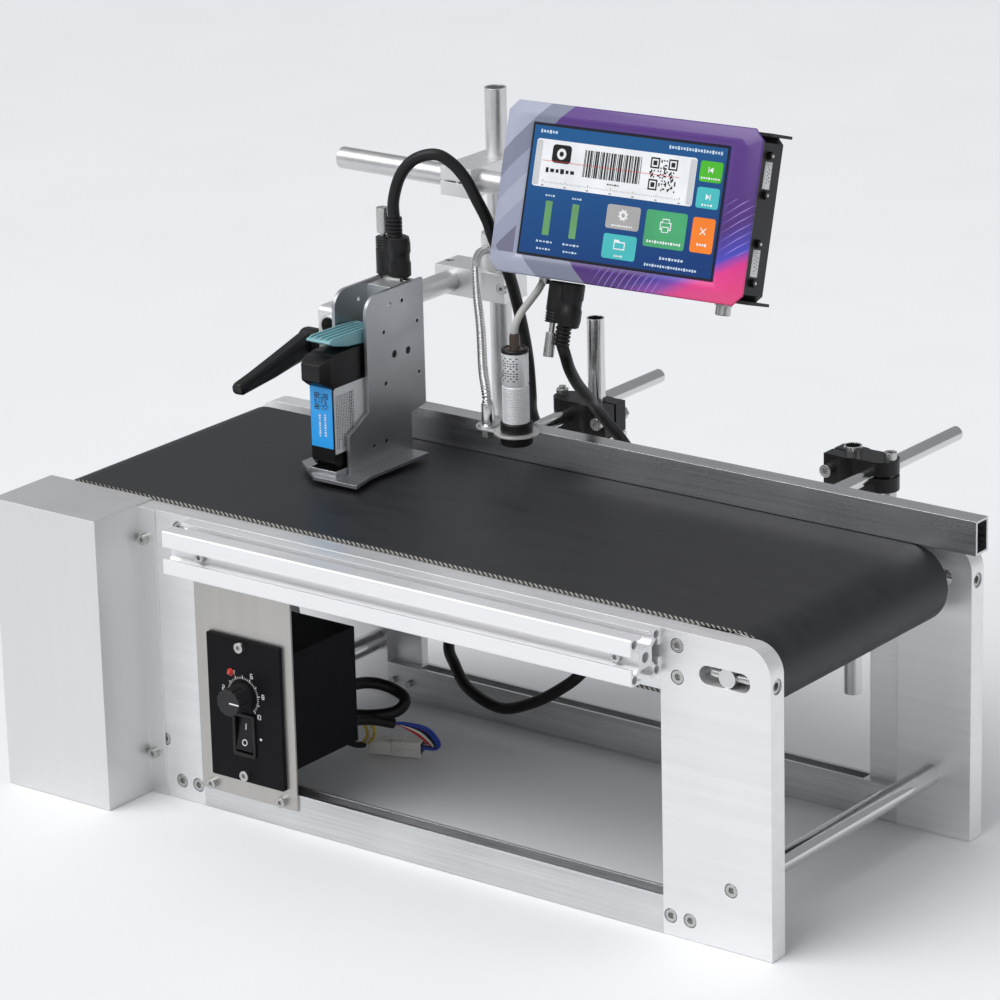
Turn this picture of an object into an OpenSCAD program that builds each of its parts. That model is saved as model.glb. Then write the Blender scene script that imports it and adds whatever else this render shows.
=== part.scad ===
// Date-code inkjet printer on a mini belt conveyor.
// Origin: middle of the conveyor's footprint on the table. X runs along the belt, towards the
// idler end. Y runs from the operator's side to the back. Z is up. Millimetres.

/* [Conveyor frame] */
// Length over the end plates
frame_l = 585; // [560:1:640]
// Width over the side plates
frame_w = 240; // [240:1:250]
// Height of the end plates
frame_h = 200; // [200:1:202]
// Thickness of the end plates, beams and rails
plate_t = 14; // [12:0.5:16]
// Width of the end plates at the idler end
idler_plate_w = 80; // [76:1:84]
// Width of the end plates at the drive end
drive_plate_w = 135; // [132:1:140]
// Height of the top beams
beam_h = 40; // [38:1:42]
// Height of the bottom rails
rail_h = 25; // [25:1:27]
// Length of the half-thickness tongues that lap the beams and rails into the plates
lap = 25; // [24:1:26]
// Size of the slotted extrusions on both sides
profile_size = 30; // [30]

/* [Belt] */
// Width of the belt
belt_w = 192; // [180:1:194]
// Thickness of the belt
belt_t = 2; // [1:0.5:3]
// Diameter of both rollers
roller_d = 47.9; // [46:0.1:47.9]
// Distance of the idler roller's axis from the middle
roller_x = 260; // [258:1:261]
// Distance of the drive roller's axis from the middle
drive_x = 266; // [262:0.5:266]
// Height of the roller axes
roller_z = 176; // [176]

/* [Mast and arms] */
// Outer diameter of the mast and arm tubes
tube_d = 15; // [15]
// Wall of the mast and arm tubes
tube_wall = 1.5; // [1:0.5:2]
// Height of the mast's top
mast_top = 432; // [420:1:460]
// Height of the arm that carries the print head
head_arm_z = 295; // [295:1:300]
// Height of the arm that carries the display
display_arm_z = 376; // [376:1:380]
// Backward tilt of the display
display_tilt = 17; // [16:1:24]
// Sideways lean of the display
display_lean = 1.4; // [0:0.2:2]

/* [Display] */
// Width of the display housing
display_w = 200; // [196:1:206]
// Height of the display housing
display_h = 113; // [110:1:118]
// Width of the lit screen
screen_w = 154; // [150:1:156]
// Height of the lit screen
screen_h = 86; // [80:1:88]

/* [Print head] */
// Clear width between the two side sheets of the print head
head_gap = 24; // [23:0.5:26]
// Thickness of the side sheets
head_sheet = 2.5; // [2:0.5:2.5]
// Width of the ink cartridge
cartridge_w = 19.6; // [19:0.2:22]

/* [Guide rail] */
// Diameter of the guide's sliding rods
guide_rod_d = 10; // [10]
// Diameter of the guide's upright posts
post_d = 12; // [12]
// Gap between the belt and the guide rail
guide_gap = 0.5; // [0.5:0.5:3]

/* [Hidden] */
$fn = 48;

half_l = frame_l / 2;
half_w = frame_w / 2;
wall_in = half_w - plate_t;              // inner face of the side walls
plate_r = 18;                            // rounded outer top corner of an end plate
x_seam_r = half_l - idler_plate_w;       // where the beams meet the idler-end plates
x_seam_l = -half_l + drive_plate_w;      // where the beams meet the drive-end plates
beam_z = frame_h - beam_h;
profile_z = frame_h - profile_size / 2;
profile_y = half_w + profile_size / 2;
belt_y0 = -wall_in + 2;
belt_top = roller_z + 24 + belt_t;
slot_x = half_l - 33.1;                  // middle of the take-up slot
slot_l = 36.8;
axle_d = 12;
rod_d = 14;
rod_z = 40;
rod_x_r = half_l - 29.8;
rod_x_l = -half_l + 102;
foot_x = half_l - 22.5;                  // tapped holes for levelling feet, under each plate
motor_x = -240;
motor_z = 75;
pulley_d = 32;
pulley_y = -half_w - 30;                 // outer face of the two pulleys
pulley_w = 18;

// [x, z] of the M5 screws in the lap joints, idler end then drive end
laps_r = [[x_seam_r + 12.4, 190.4], [x_seam_r + 12.4, 170.2],
          [x_seam_r + 5.3, 12.8], [x_seam_r + 19.6, 12.8]];
laps_l = [[x_seam_l - 12.4, 190.4], [x_seam_l - 12.4, 170.2],
          [x_seam_l - 5.5, 12.8], [x_seam_l - 19.6, 12.8]];
profile_screw_x = [x_seam_l + 26, x_seam_r - 15.7];
motor_screws = [for (sx = [-1, 1], sz = [-1, 1]) [motor_x + 32 * sx, motor_z + 32 * sz]];

cover_x0 = -half_l - 0.5;
cover_x1 = cover_x0 + 89.5;
cover_y = -half_w - 43.3;
cover_t = 1.2;
cover_screws = [[cover_x1 + 5, 178.5], [cover_x1 + 5, 28.7]];

panel_x0 = x_seam_l;
panel_x1 = x_seam_l + 80.7;
panel_t = 1.5;
panel_screws = [[panel_x0 + 9.4, 18.5], [panel_x1 - 12.2, 18.5]];
face_x = x_seam_l + 42;
face_z = 76.5;
face_y = -half_w - panel_t;              // rear of the controller's face
knob_x = face_x - 1;
knob_z = face_z + 10.5;
rocker_y = face_y + 2;                   // the rocker's pivot
rocker_z = face_z - 16.5;
face_screw_z = [face_z - 44.5, face_z + 44.5];

mast_x = -120.5;
mast_y = half_w + 45;
tube_gap = 33;                           // distance between the two bores of a cross clamp
head_arm_x = mast_x - tube_gap;
display_arm_y = mast_y - tube_gap;
clamp_a = 26;                            // width of a cross clamp
clamp_h = 20;                            // height of a cross clamp

guide_y = 86;                            // front face of the guide rail
guide_d = 14;
guide_h = 22.5;
guide_z0 = belt_top + guide_gap;
guide_z = guide_z0 + guide_h / 2;
post_y = half_w + 45;
post_xs = [165.5, -40.5];                // idler side, drive side
post_dirs = [1, -1];                     // side of its post on which each rod runs
rod_gap = 18;
post_bottoms = [57, 113];
post_tops = [229, 283];

head_x = mast_x - 6.5;                   // middle between the side sheets
sheet_z0 = 208;
sheet_z1 = 323;
lever_y = 30;
lever_z = 279;
latch_y = 27.5;
latch_z = 295.5;
cartridge_y0 = -22;
plug_y = 64;
spacer_points = [[47.5, 312.5], [63, 295], [63.5, 259.5]];
sheet_x = [head_x - head_gap / 2 - head_sheet, head_x + head_gap / 2];
sensor_x = -25.5;
sensor_y = 55;

screen_back = 47;                        // from the screen's face to the display arm
screen_up = 3;                           // from the display arm up to the screen's middle
display_x = 38.6;
display_y = display_arm_y - screen_back * cos(display_tilt) + screen_up * sin(display_tilt);
display_z = display_arm_z + screen_back * sin(display_tilt) + screen_up * cos(display_tilt);
bezel_t = 3.5;                           // depth of the front bezel
display_t = 28;                          // depth of the whole housing
port_y = 18;                             // depth at which the sockets underneath sit
side_port_y = 14;                        // depth at which the sockets on the side sit
port_z = [28, -28];
side_x = display_w / 2 - 1.5;            // outer face of the housing's side
plug_x = -45;
round_x = 77;                            // round socket underneath
gland_x = -64;                           // cable gland underneath

module aluminium() { color([0.80, 0.81, 0.82]) children(); }
module steel() { color([0.66, 0.66, 0.67]) children(); }
module stainless() { color([0.72, 0.70, 0.67]) children(); }
module black() { color([0.07, 0.07, 0.08]) children(); }

// ---- general helpers ----

// Rectangle centred on the origin with rounded corners
module rounded(w, h, r) {
    square([w, h - 2 * r], center = true);
    square([w - 2 * r, h], center = true);
    for (x = [-1, 1], y = [-1, 1])
        translate([x * (w / 2 - r), y * (h / 2 - r)]) circle(r);
}

// Rectangle centred on the origin with its corners cut at 45 degrees
module chamfered(w, h, c) {
    polygon([[-w / 2 + c, -h / 2], [w / 2 - c, -h / 2], [w / 2, -h / 2 + c], [w / 2, h / 2 - c],
             [w / 2 - c, h / 2], [-w / 2 + c, h / 2], [-w / 2, h / 2 - c], [-w / 2, -h / 2 + c]]);
}

// Extrudes an X-Z drawing from y0 to y0 + t
module wall(y0, t) {
    translate([0, y0 + t, 0]) rotate([90, 0, 0]) linear_extrude(t) children();
}

// Extrudes a Y-Z drawing from x0 to x0 + t
module slab(x0, t) {
    translate([x0, 0, 0]) rotate([90, 0, 90]) linear_extrude(t) children();
}

// Turns a piece drawn up the Z axis so that it runs along +Y from a point
module along_y(p) { translate(p) rotate([-90, 0, 0]) children(); }

// Turns a piece drawn up the Z axis so that it runs along +X from a point
module along_x(p) { translate(p) rotate([0, 90, 0]) children(); }

// Turns a piece drawn up the Z axis so that it runs along -X from a point
module against_x(p) { translate(p) rotate([0, -90, 0]) children(); }

module tube(od, wall_t, l) {
    difference() {
        cylinder(d = od, h = l);
        translate([0, 0, -1]) cylinder(d = od - 2 * wall_t, h = l + 2);
    }
}

// Socket-head screw: shank from z = 0 up to l, head below, hexagon socket in the head
module socket_screw(d, l, head_d, head_h, key) {
    difference() {
        union() {
            translate([0, 0, -head_h]) cylinder(d = head_d, h = head_h);
            cylinder(d = d, h = l);
        }
        translate([0, 0, -head_h - 1]) cylinder(d = key, h = head_h * 0.6 + 1, $fn = 6);
    }
}

module m5(l) { socket_screw(5, l, 8.5, 5, 4.6); }
module m4(l) { socket_screw(4, l, 7, 3.4, 3.4); }

// Both side walls: the child and its mirror image at the back
module both_sides() {
    children();
    mirror([0, 1, 0]) children();
}

// A smooth run through points, as rings of a soft cable, by Catmull-Rom interpolation
function spline(p, i, t) =
    let (a = p[max(i - 1, 0)], b = p[i], c = p[i + 1], d = p[min(i + 2, len(p) - 1)])
    b + t * (c - a) / 2 + t * t * (2 * a - 5 * b + 4 * c - d) / 2
      + t * t * t * (3 * b - a - 3 * c + d) / 2;
function run(p, n) =
    concat([for (i = [0 : len(p) - 2], k = [0 : n - 1]) spline(p, i, k / n)], [p[len(p) - 1]]);
function unit(v) = v / norm(v);

// Cable of diameter d through the points p
module cable(p, d, steps = 4, sides = 10) {
    path = run(p, steps);
    last = len(path) - 1;
    ref = [0.83, 0.41, 0.38];
    rings = [for (i = [0 : last])
        let (w = unit(path[min(i + 1, last)] - path[max(i - 1, 0)]),
             u = unit(cross(w, ref)), v = cross(w, u))
        for (k = [0 : sides - 1])
            path[i] + d / 2 * (u * cos(360 * k / sides) + v * sin(360 * k / sides))];
    skin = [for (i = [0 : last - 1], k = [0 : sides - 1])
        let (a = i * sides + k, b = i * sides + (k + 1) % sides)
        each [[a, a + sides, b], [b, a + sides, b + sides]]];
    polyhedron(rings, concat([[for (k = [0 : sides - 1]) k]], skin,
        [[for (k = [sides - 1 : -1 : 0]) last * sides + k]]));
}

// ---- conveyor frame ----

// Outline of an end plate in X-Z, its seam at x = 0 and its rounded corner at x = w
module plate_outline(w) {
    square([w, frame_h - plate_r]);
    square([w - plate_r, frame_h]);
    translate([w - plate_r, frame_h - plate_r]) circle(plate_r);
}

// Holes of the lap-joint screws through the front wall, with counterbores on its outer face
module lap_holes(points, d = 5) {
    for (p = points) {
        along_y([p[0], -half_w - 1, p[1]]) cylinder(d = d, h = plate_t + 2);
        along_y([p[0], -half_w - 1, p[1]]) cylinder(d = 9.5, h = 6.2);
    }
}

// Tapped M6 hole up into the underside of a front end plate
module foot_hole(x) { translate([x, -half_w + plate_t / 2, -1]) cylinder(d = 5, h = 16); }

module end_plates_right() {
    aluminium() both_sides() difference() {
        wall(-half_w, plate_t) difference() {
            translate([x_seam_r, 0]) plate_outline(idler_plate_w);
            translate([slot_x, roller_z]) {
                square([slot_l - 12.1, 12.1], center = true);
                for (s = [-1, 1]) translate([s * (slot_l - 12.1) / 2, 0]) circle(d = 12.1);
            }
        }
        translate([x_seam_r - 1, -half_w + plate_t / 2, -1]) cube([lap + 1, plate_t, frame_h + 2]);
        lap_holes(concat(laps_r, [[rod_x_r, rod_z]]));
        foot_hole(foot_x);
        against_x([half_l + 1, -half_w + 7, roller_z]) cylinder(d = 6.1, h = 30);
        against_x([half_l + 1, -half_w + 7, roller_z]) cylinder(d = 10, h = 7);
    }
}

module end_plates_left() {
    aluminium() {
        difference() {
            drive_plate();
            along_y([motor_x, -half_w - 1, motor_z]) cylinder(d = 22, h = plate_t + 2);
            for (p = motor_screws) {
                along_y([p[0], -half_w - 1, p[1]]) cylinder(d = 5, h = plate_t + 2);
                along_y([p[0], -half_w - 1, p[1]]) cylinder(d = 9.5, h = 6.2);
            }
            for (p = cover_screws) along_y([p[0], -half_w - 1, p[1]]) cylinder(d = 4, h = 9);
            along_y([-drive_x, -half_w - 1, roller_z]) cylinder(d = 16, h = plate_t + 2);
        }
        mirror([0, 1, 0]) drive_plate();
    }
}

// Front end plate at the drive end, before its motor holes are cut
module drive_plate() {
    difference() {
        wall(-half_w, plate_t) translate([x_seam_l, 0]) mirror([1, 0])
            plate_outline(drive_plate_w);
        translate([x_seam_l - lap, -half_w + plate_t / 2, -1])
            cube([lap + 1, plate_t, frame_h + 2]);
        lap_holes(concat(laps_l, [[rod_x_l, rod_z]]));
        foot_hole(-foot_x);
        along_y([-drive_x, -wall_in - 8, roller_z]) cylinder(d = 28, h = 20);
    }
}

// Bar between the end plates with a half-thickness tongue at each end
module lapped_bar(z0, h) {
    translate([x_seam_l, -half_w, z0]) cube([x_seam_r - x_seam_l, plate_t, h]);
    translate([x_seam_l - lap, -half_w + plate_t / 2, z0])
        cube([x_seam_r - x_seam_l + 2 * lap, plate_t / 2, h]);
}

module top_beams() {
    aluminium() both_sides() difference() {
        lapped_bar(beam_z, beam_h);
        for (p = concat(laps_r, laps_l))
            along_y([p[0], -half_w - 1, p[1]]) cylinder(d = 5, h = plate_t + 2);
        for (x = profile_screw_x)
            along_y([x, -half_w - 1, profile_z]) cylinder(d = 4, h = 11);
    }
}

module bottom_rails() {
    aluminium() difference() {
        both_sides() difference() {
            lapped_bar(0, rail_h);
            // channel along the top, left open between two thin walls
            translate([x_seam_l + 2, -half_w + 3, rail_h - 8])
                cube([x_seam_r - x_seam_l - 4, plate_t - 5, 9]);
            for (p = concat(laps_r, laps_l))
                along_y([p[0], -half_w - 1, p[1]]) cylinder(d = 5, h = plate_t + 2);
        }
        for (p = panel_screws) along_y([p[0], -half_w - 1, p[1]]) cylinder(d = 4, h = 9.5);
    }
}

// Cross-section of the 30 mm slotted extrusion
module slot_section() {
    difference() {
        rounded(profile_size, profile_size, 1.5);
        for (a = [0 : 90 : 270]) rotate(a) {
            translate([-4.1, 12.8]) square([8.2, 5]);
            polygon([[-8.2, 12.9], [8.2, 12.9], [8.2, 10.4], [4.4, 6.6], [-4.4, 6.6],
                     [-8.2, 10.4]]);
            translate([11.3, 11.3]) circle(d = 5.4);
        }
        circle(d = 6.8);
    }
}

module slot_profiles() {
    aluminium() both_sides() difference() {
        slab(x_seam_l, x_seam_r - x_seam_l) translate([-profile_y, profile_z]) slot_section();
        for (x = profile_screw_x)
            along_y([x, -profile_y - 10, profile_z]) cylinder(d = 4, h = 40);
    }
}

module slider_bed() {
    steel() {
        translate([-drive_x + 28, -wall_in, roller_z + 20.9])
            cube([roller_x + drive_x - 56, 2 * wall_in, 3]);
        for (s = [-1, 1])
            translate([x_seam_l + 4, s * (wall_in - 1.5) - 1.5, beam_z + 12])
                cube([x_seam_r - x_seam_l - 14, 3, roller_z + 21 - beam_z - 12]);
    }
}

module cross_rods() {
    steel() for (x = [rod_x_l, rod_x_r]) difference() {
        along_y([x, -wall_in, rod_z]) cylinder(d = rod_d, h = 2 * wall_in);
        both_sides() along_y([x, -wall_in - 1, rod_z]) cylinder(d = 5, h = 13);
    }
}

module socket_screws() {
    steel() {
        both_sides() {
            for (p = concat(laps_r, laps_l)) along_y([p[0], -half_w + 5.2, p[1]]) m5(12);
            for (x = [rod_x_l, rod_x_r]) along_y([x, -half_w + 5.2, rod_z]) m5(20);
            for (x = profile_screw_x) along_y([x, -profile_y - 6.6, profile_z]) m4(30);
        }
        for (p = motor_screws) along_y([p[0], -half_w + 5.2, p[1]]) m5(20);
        for (p = cover_screws) along_y([p[0], -half_w - cover_t, p[1]]) m4(9);
        for (p = panel_screws) along_y([p[0], -half_w - panel_t, p[1]]) m4(9);
        for (z = face_screw_z) along_y([knob_x, face_y - 3, z]) m4(9);
        translate([mast_x, mast_y, display_arm_z]) rotate(90) cross_clamp_screws();
        for (i = [0, 1]) translate([post_xs[i], post_y, guide_z]) rotate([0, 180 * i, 0])
            guide_clamp_screws();
        for (x = concat(post_xs, [mast_x])) translate([x, post_y, profile_z]) bracket_screws();
    }
}

// ---- belt, rollers and drive ----

// Drawing of a closed belt round two equal wheels: radius r, distance l, thickness t
module belt_outline(r, l, t) {
    difference() {
        union() {
            square([l, 2 * (r + t)], center = true);
            for (s = [-1, 1]) translate([s * l / 2, 0]) circle(r + t, $fn = 96);
        }
        square([l, 2 * r], center = true);
        for (s = [-1, 1]) translate([s * l / 2, 0]) circle(r, $fn = 96);
    }
}

module conveyor_belt() {
    color([0.10, 0.10, 0.11])
        wall(belt_y0, belt_w) translate([(roller_x - drive_x) / 2, roller_z])
            belt_outline(24, roller_x + drive_x, belt_t);
}

module drive_roller() {
    steel() difference() {
        union() {
            along_y([-drive_x, belt_y0, roller_z]) cylinder(d = roller_d, h = belt_w);
            along_y([-drive_x, pulley_y - 2, roller_z])
                cylinder(d = axle_d, h = wall_in + 9.5 - pulley_y);
            along_y([-drive_x, belt_y0 + belt_w - 1, roller_z])
                cylinder(d = 20, h = wall_in - belt_y0 - belt_w + 0.8);
        }
        // shallow dishes turned into the two end faces
        for (y = [belt_y0 - 1, belt_y0 + belt_w - 2])
            along_y([-drive_x, y, roller_z]) tube(40, 9, 3);
    }
}

// Ball bearing: outer diameter, bore, width
module bearing(od, id, w) {
    difference() {
        cylinder(d = od, h = w);
        translate([0, 0, -1]) cylinder(d = id, h = w + 2);
        for (z = [-1, w - 0.8]) translate([0, 0, z]) difference() {
            cylinder(d = od * 0.82, h = 1.8);
            cylinder(d = od * 0.58, h = 1.8);
        }
    }
}

module drive_bearings() {
    steel() for (y = [-wall_in - 8, wall_in])
        along_y([-drive_x, y, roller_z]) bearing(28, axle_d + 0.1, 8);
}

module idler_bearings() {
    steel() for (y = [belt_y0, belt_y0 + belt_w - 10])
        along_y([roller_x, y, roller_z]) bearing(32, axle_d + 0.1, 10);
}

module idler_roller() {
    steel() along_y([roller_x, belt_y0, roller_z]) difference() {
        cylinder(d = roller_d, h = belt_w);
        translate([0, 0, -1]) cylinder(d = 28, h = belt_w + 2);
        translate([0, 0, -1]) cylinder(d = 32, h = 11);
        translate([0, 0, belt_w - 10]) cylinder(d = 32, h = 11);
    }
}

module idler_axle() {
    steel() difference() {
        union() {
            along_y([roller_x, -half_w + 1.5, roller_z])
                cylinder(d = axle_d, h = frame_w - 3);
            along_y([roller_x, belt_y0 + belt_w + 0.3, roller_z])
                cylinder(d = 18, h = wall_in - belt_y0 - belt_w - 0.6);
        }
        both_sides() along_x([roller_x - 10, -half_w + 7, roller_z]) cylinder(d = 6.2, h = 20);
    }
}

module tension_screw() {
    steel() against_x([half_l - 6, -half_w + 7, roller_z])
        socket_screw(6, 40, 9.6, 5, 5.6);
}
module tension_screw_front() { tension_screw(); }
module tension_screw_rear() { mirror([0, 1, 0]) tension_screw(); }

// Flanged pulley, along +Y from its outer face
module pulley() {
    cylinder(d = pulley_d + 5, h = 1.2);
    cylinder(d = pulley_d - 0.1, h = pulley_w);
    translate([0, 0, pulley_w - 1.2]) cylinder(d = pulley_d + 5, h = 1.2);
}

module drive_pulley() {
    aluminium() along_y([-drive_x, pulley_y, roller_z]) difference() {
        pulley();
        translate([0, 0, -1]) cylinder(d = axle_d, h = pulley_w + 2);
    }
}

module motor_pulley() {
    steel() {
        along_y([motor_x, pulley_y, motor_z]) pulley();
        along_y([motor_x, pulley_y - 2, motor_z]) cylinder(d = 12, h = -pulley_y - 82);
    }
}

module timing_belt() {
    dx = motor_x + drive_x;
    dz = roller_z - motor_z;
    black() wall(pulley_y + 2, pulley_w - 4)
        translate([(motor_x - drive_x) / 2, (motor_z + roller_z) / 2])
            rotate(-atan2(dz, dx)) belt_outline(pulley_d / 2, norm([dx, dz]), 2);
}

module gearmotor() {
    color([0.62, 0.63, 0.64]) difference() {
        union() {
            wall(-wall_in, 42) translate([motor_x, motor_z]) chamfered(80, 80, 6);
            along_y([motor_x, -wall_in + 42, motor_z]) cylinder(d = 78, h = 96);
            along_y([motor_x, -wall_in + 138, motor_z]) cylinder(d = 70, h = 8);
        }
        along_y([motor_x, -wall_in - 1, motor_z]) cylinder(d = 12.1, h = 26);
        for (p = motor_screws) along_y([p[0], -wall_in - 1, p[1]]) cylinder(d = 5, h = 13);
    }
}

module drive_cover() {
    stainless() difference() {
        union() {
            translate([cover_x0, cover_y, 0]) difference() {
                cube([cover_x1 - cover_x0, -half_w - cover_y, frame_h + cover_t]);
                translate([cover_t, cover_t, cover_t])
                    cube([cover_x1 - cover_x0 - 2 * cover_t, 50, frame_h - cover_t]);
            }
            translate([cover_x1 - 1, -half_w - cover_t, 0]) cube([15, cover_t, frame_h]);
            translate([cover_x0, -half_w - 1, frame_h])
                cube([cover_x1 - cover_x0, plate_t + 1, cover_t]);
        }
        for (p = cover_screws) along_y([p[0], -half_w - 5, p[1]]) cylinder(d = 4, h = 9);
    }
}

// ---- speed control ----

module panel_plate() {
    stainless() difference() {
        translate([panel_x0, -half_w - panel_t, 14])
            cube([panel_x1 - panel_x0, panel_t, frame_h - profile_size - 14.2]);
        translate([face_x, 0, face_z]) cube([56.4, 300, 80.4], center = true);
        for (p = panel_screws) along_y([p[0], -half_w - 5, p[1]]) cylinder(d = 4, h = 9);
        for (z = face_screw_z) along_y([knob_x, -half_w - 5, z]) cylinder(d = 4, h = 9);
    }
}

module speed_controller() {
    black() difference() {
        union() {
            wall(face_y - 3, 3) translate([face_x, face_z]) rounded(61, 99, 1);
            wall(face_y - 1, 78) translate([face_x, face_z]) square([56, 80], center = true);
        }
        along_y([knob_x, face_y - 10, knob_z]) cylinder(d = 6.1, h = 20);
        translate([knob_x, face_y, rocker_z]) cube([14.4, 20, 25.2], center = true);
        along_x([knob_x - 9, rocker_y, rocker_z]) cylinder(d = 3.1, h = 18);
        for (z = face_screw_z) along_y([knob_x, face_y - 10, z]) cylinder(d = 4, h = 20);
    }
}

module speed_knob() {
    black() {
        along_y([knob_x, face_y - 18.5, knob_z]) difference() {
            cylinder(d = 18.5, h = 15);
            for (a = [0 : 30 : 330]) rotate(a) translate([10.4, 0, -1]) cylinder(d = 3.4, h = 12);
            translate([4.5, -0.6, -1]) cube([6, 1.2, 1.6]);
        }
        along_y([knob_x, face_y - 4, knob_z]) cylinder(d = 6, h = 9);
    }
}

module rocker_switch() {
    black() {
        slab(knob_x - 6.5, 13) translate([face_y, rocker_z])
            polygon([[-4.6, -10.6], [-2.4, 0], [-0.8, 10.6], [3.4, 9.8], [5.4, 0], [1.8, -9.8]]);
        along_x([knob_x - 8.5, rocker_y, rocker_z]) cylinder(d = 3, h = 17);
    }
}

// ---- uprights, clamps and brackets at the back ----

// Clamp that holds two tubes at right angles: one up the Z axis through the origin, one along
// Y at x = -tube_gap
module cross_clamp() {
    difference() {
        translate([-tube_gap / 2, 0, 0]) cube([tube_gap + clamp_a, clamp_a, clamp_h], center = true);
        translate([0, 0, -clamp_h]) cylinder(d = tube_d, h = 2 * clamp_h);
        along_y([-tube_gap, -clamp_a, 0]) cylinder(d = tube_d, h = 2 * clamp_a);
        // clamping slots, open at the two ends of the block
        translate([0, -0.75, -clamp_h]) cube([clamp_a, 1.5, 2 * clamp_h]);
        translate([-tube_gap - clamp_a, -clamp_a, -0.75]) cube([clamp_a, 2 * clamp_a, 1.5]);
        // screw holes
        along_y([10.2, -clamp_a, 0]) cylinder(d = 4, h = 2 * clamp_a);
        along_y([10.2, -clamp_a, 0]) cylinder(d = 7.4, h = clamp_a / 2 + 3.5);
        translate([-tube_gap - 10.2, 0, -clamp_h]) cylinder(d = 4, h = 2 * clamp_h);
        translate([-tube_gap - 10.2, 0, clamp_h / 2 - 3.5]) cylinder(d = 7.4, h = clamp_h);
    }
}

module cross_clamp_screws() {
    along_y([10.2, -clamp_a / 2 + 3.5, 0]) m4(18);
    translate([-tube_gap - 10.2, 0, clamp_h / 2 - 3.5]) rotate([180, 0, 0]) m4(16);
}

// Block that holds an upright against the back of the rear extrusion, with its two slot nuts;
// the upright's bore, of diameter d, is at the origin
module post_bracket(d) {
    difference() {
        union() {
            translate([-15, -15, -17]) cube([30, 28, 34]);
            for (x = [-11.5, 11.5]) translate([x - 5, -19.9, -5]) cube([10, 2.7, 10]);
        }
        translate([0, 0, -40]) cylinder(d = d, h = 80);
        for (x = [-11.5, 11.5]) along_y([x, -24, 0]) cylinder(d = 4, h = 40);
        translate([-0.75, 0, -20]) cube([1.5, 20, 40]);
    }
}

// The two screws of one bracket, driven from behind into the slot nuts
module bracket_screws() {
    for (x = [-11.5, 11.5]) translate([x, 13, 0]) rotate([90, 0, 0]) m4(33);
}

module post_brackets() {
    aluminium() {
        for (x = post_xs) translate([x, post_y, profile_z]) post_bracket(post_d);
        translate([mast_x, mast_y, profile_z]) post_bracket(tube_d);
    }
}

module mast() {
    aluminium() translate([mast_x, mast_y, profile_z - 17]) tube(tube_d, tube_wall,
        mast_top - profile_z + 17);
}

module display_clamp() {
    aluminium() translate([mast_x, mast_y, display_arm_z]) rotate(90) cross_clamp();
}

module display_arm() {
    aluminium() along_x([-228, display_arm_y, display_arm_z])
        tube(tube_d, tube_wall, 326);
}

module guide_posts() {
    steel() for (i = [0, 1]) translate([post_xs[i], post_y, post_bottoms[i]])
        tube(post_d, 1, post_tops[i] - post_bottoms[i]);
}

// Plastic cross clamp: upright post through the origin, rod along Y at x = rod_gap
module guide_clamp() {
    difference() {
        translate([0, 0, -10.5]) linear_extrude(21) {
            circle(13);
            translate([-15, -12]) square([15, 24]);
            translate([0, -11]) square([23, 22]);
            translate([23, 0]) circle(11);
        }
        translate([0, 0, -20]) cylinder(d = post_d, h = 40);
        along_y([rod_gap, -20, 0]) cylinder(d = guide_rod_d + 0.1, h = 40);
        translate([-20, -1, -20]) cube([18, 2, 40]);
        translate([rod_gap + 2, -20, -1]) cube([20, 40, 2]);
        along_y([-10.8, -20, 0]) cylinder(d = 5, h = 40);
        translate([rod_gap + 10.8, 0, -20]) cylinder(d = 5, h = 40);
    }
}

module guide_clamps() {
    black() for (i = [0, 1]) translate([post_xs[i], post_y, guide_z]) rotate([0, 180 * i, 0])
        guide_clamp();
}

// Screws and nuts of one guide clamp
module guide_clamp_screws() {
    along_y([-10.8, -12, 0]) {
        m5(29);
        translate([0, 0, 24]) m5_nut();
    }
    translate([rod_gap + 10.8, 0, 10.5]) rotate([180, 0, 0]) {
        m5(27);
        translate([0, 0, 21]) m5_nut();
    }
}

module m5_nut() {
    difference() {
        cylinder(d = 9.2, h = 4, $fn = 6);
        translate([0, 0, -1]) cylinder(d = 5, h = 6);
    }
}

// ---- guide rail ----

module guide_rail() {
    aluminium() difference() {
        slab(-170, 477.5) translate([guide_y + guide_d / 2, guide_z]) difference() {
            square([guide_d, guide_h], center = true);
            square([guide_d - 3, guide_h - 3], center = true);
        }
        for (i = [0, 1])
            along_y([post_xs[i] + rod_gap * post_dirs[i], guide_y + 5, guide_z])
                cylinder(d = 6, h = 20);
    }
}

module guide_rods() {
    steel() for (i = [0, 1])
        along_y([post_xs[i] + rod_gap * post_dirs[i], guide_y + guide_d, guide_z]) {
            cylinder(d = guide_rod_d, h = 163);
            translate([0, 0, -5]) cylinder(d = 6, h = 10);
        }
}

// ---- display ----

// Puts a piece in the display's own frame: origin in the middle of the screen's face, Y into
// the housing, Z up the screen
module on_display() {
    translate([display_x, display_y, display_z]) rotate([-display_tilt, 0, 0])
        rotate([0, -display_lean, 0]) children();
}

// Puts a piece on the display arm's axis, tilted with the display but without its lean
module on_display_arm() {
    translate([display_x, display_arm_y, display_arm_z]) rotate([-display_tilt, 0, 0]) children();
}

module display_bezel() {
    color([0.50, 0.46, 0.66]) on_display() difference() {
        union() {
            wall(1.5, bezel_t - 1.5) chamfered(display_w, display_h, 7);
            wall(0, 2) chamfered(display_w - 6, display_h - 6, 6);
        }
        wall(-1, 3) square([screen_w + 0.4, screen_h + 0.4], center = true);
        wall(-1, 20) square([screen_w - 8, screen_h - 8], center = true);
    }
}

module display_screen() {
    color([0.10, 0.25, 0.50]) on_display()
        wall(0.4, 1.6) square([screen_w, screen_h], center = true);
}

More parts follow.
